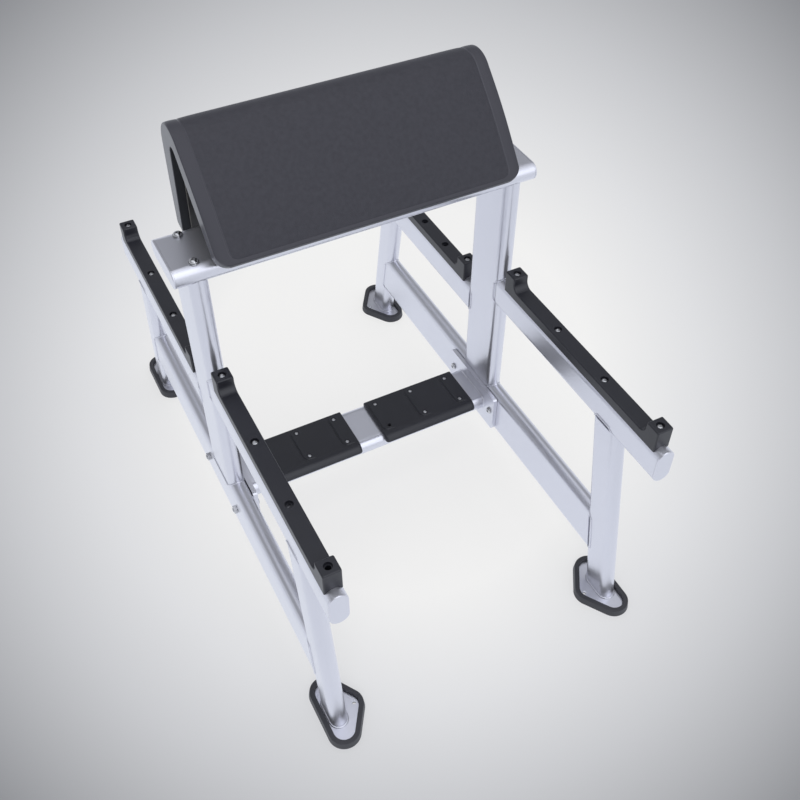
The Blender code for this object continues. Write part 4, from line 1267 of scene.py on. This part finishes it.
beamTop = cap["beamTop"] + seam
inner = tubeHalf + fixing["flange"] + 2 * seam
outer = tubeHalf + seam
beamSeats = []
washerSeats = []
railSeats = []
nutSeats = []
for count, (end, side, _, _) in enumerate(corners):
    spot = Vector((side * frameX, end * fixing["beamY"], beamTop))
    washerSeats.append((spot, zAxis, 0.0))
    beamSeats.append((spot + zAxis * (fixing["washerThick"] + seam), zAxis, 0.4 + 1.1 * count))
    railY = end * fixing["railY"]
    railSeats.append((Vector((side * (frameX - inner), railY, fixing["railZ"])), -side * xAxis, 0.9 * count))
    nutSeats.append((Vector((side * (frameX + outer), railY, fixing["railZ"])), side * xAxis, 0.26 * count))
beamGrip = bench["tubeThick"] + fixing["topPlate"] + fixing["washerThick"] + 4 * seam
railGrip = bench["tubeThick"] + fixing["flange"] + 3 * seam + fixing["nutHeight"] + fixing["tip"]
setFixings("beamBolts", buildBolt(beamGrip), beamSeats, "beam_bolt_")
setFixings("beamWashers", buildWasher(), washerSeats, "beam_washer_")
setFixings("railBolts", buildBolt(railGrip), railSeats, "rail_bolt_")
setFixings("railNuts", buildNut(), nutSeats, "rail_nut_")
screw = buttonHead("screwMaster", *fixing["screw"].values())
rackScrews = scatter("rackScrews", screw, screwSeats, "greySteel")
screw.data.transform(Matrix.Diagonal(fixing["treadScrew"]))
treadScrews = scatter("treadScrews", screw, treadSeats, "greySteel")
remove(screw)
for thing in (rackScrews, treadScrews):
    finishPiece(thing, None, "bolt_steel")
print("fixings made:", len(screwSeats), "rack screws,", len(treadSeats), "tread screws")

# weld beads
weld = {
    "radius": 0.0021,
    "footRadius": 0.0028,
    "step": 0.0012,
    "ripple": 0.10,
    "pitch": 0.0036,
    "nearest": 0.0004,
    "railWidth": 0.125,
    "uprightWidth": 0.132,
    "legWidth": 0.079,
    "footY": 0.5698,
    "lean": math.radians(10.0),
    "railBottom": 0.1034,
}


def bulgeOf(x):
    return math.sqrt(max(tubeHalf * tubeHalf - x * x, 0))


def legMiddle(height):
    return weld["footY"] - height * math.tan(weld["lean"])


# a closed path round a flat oval tube; spot turns its (u, x) into (y, z)
def beadPath(side, width, spot):
    return [Vector((side * frameX + x, *spot(u, x))) for u, x in flatOval(width)]


def sidePaths(side):
    high = weld["railBottom"] + weld["railWidth"] - tubeHalf
    stepX = side * (frameX - inner)
    return [beadPath(side, weld["uprightWidth"], lambda u, x: (u, high + bulgeOf(x))),
            [Vector((stepX, u, tread["stepZ"] + v)) for u, v in flatOval(tread["stepWidth"])]]


def armPath(side, end):
    middle = rack["top"][end] - cap["armWidth"] / 2
    reach = weld["uprightWidth"] / 2 - tubeHalf
    return beadPath(side, cap["armWidth"], lambda u, x: (end * (reach + bulgeOf(x)), middle + u))


def railPath(side, end):
    middle = weld["railBottom"] + weld["railWidth"] / 2
    reach = weld["legWidth"] / 2 - tubeHalf

    def spot(u, x):
        return end * (legMiddle(middle + u) - (reach + bulgeOf(x)) / math.cos(weld["lean"])), middle + u

    return beadPath(side, weld["railWidth"], spot)


# round a leg, where its top meets the arm or its foot the plate
def legPath(side, end, z, bulge):
    def spot(u, x):
        height = z - bulge * bulgeOf(x)
        return end * (legMiddle(height) + u / math.cos(weld["lean"])), height

    return beadPath(side, weld["legWidth"], spot)


def buildBeads(name, paths, radius, seed):
    points = []
    edges = []
    for path in paths:
        kept = [path[0]]
        for point in path[1:]:
            if (point - kept[-1]).length > weld["nearest"]:
                kept.append(point)
        if (kept[0] - kept[-1]).length < weld["nearest"]:
            kept.pop()
        first = len(points)
        points += kept
        edges += [(first + index, first + (index + 1) % len(kept)) for index in range(len(kept))]
    mesh = bpy.data.meshes.new(name)
    mesh.from_pydata(points, edges, [])
    values = {"Radius": radius, "Step": weld["step"], "Ripple": weld["ripple"], "Pitch": weld["pitch"],
              "Seed": seed, "Finish": materials["silverPaint"]}
    thing = runTree(addObject(name, mesh), "bead", beadTree, values)
    for polygon in thing.data.polygons:
        polygon.use_smooth = True
    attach(thing, "root")
    print(name, len(thing.data.polygons), "faces")


framePaths = []
footPaths = []
for side in sides.values():
    framePaths += sidePaths(side)
    for end in (-1, 1):
        armBottom = rack["top"][end] - cap["armWidth"] + tubeHalf
        framePaths += [armPath(side, end), railPath(side, end), legPath(side, end, armBottom, 1)]
        footPaths.append(legPath(side, end, foot["floor"] + seam + foot["plateThick"], 0))
buildBeads("frameBeads", framePaths, weld["radius"], 3)
buildBeads("footBeads", footPaths, weld["footRadius"], 7)

# CAD solids that stay, with their loose triangles welded for shading alone
stays = ("base_rail", "leg", "pad_beam", "pad_board", "pad_bracket", "rack_arm", "step_flange", "step_tube",
         "upright")
dressed = 0
for name in sorted(cadNodes):
    if name.startswith(stays) and "_cap_" not in name:
        board = name == "pad_board"
        thing = cadNodes[name]
        thing.data.materials.clear()
        thing.data.materials.append(materials["blackBoard" if board else "silverPaint"])
        thing.modifiers.new("weld", "WELD").merge_threshold = 0.00002
        addShading(thing)
        dressed += 1
print("CAD solids dressed:", dressed)
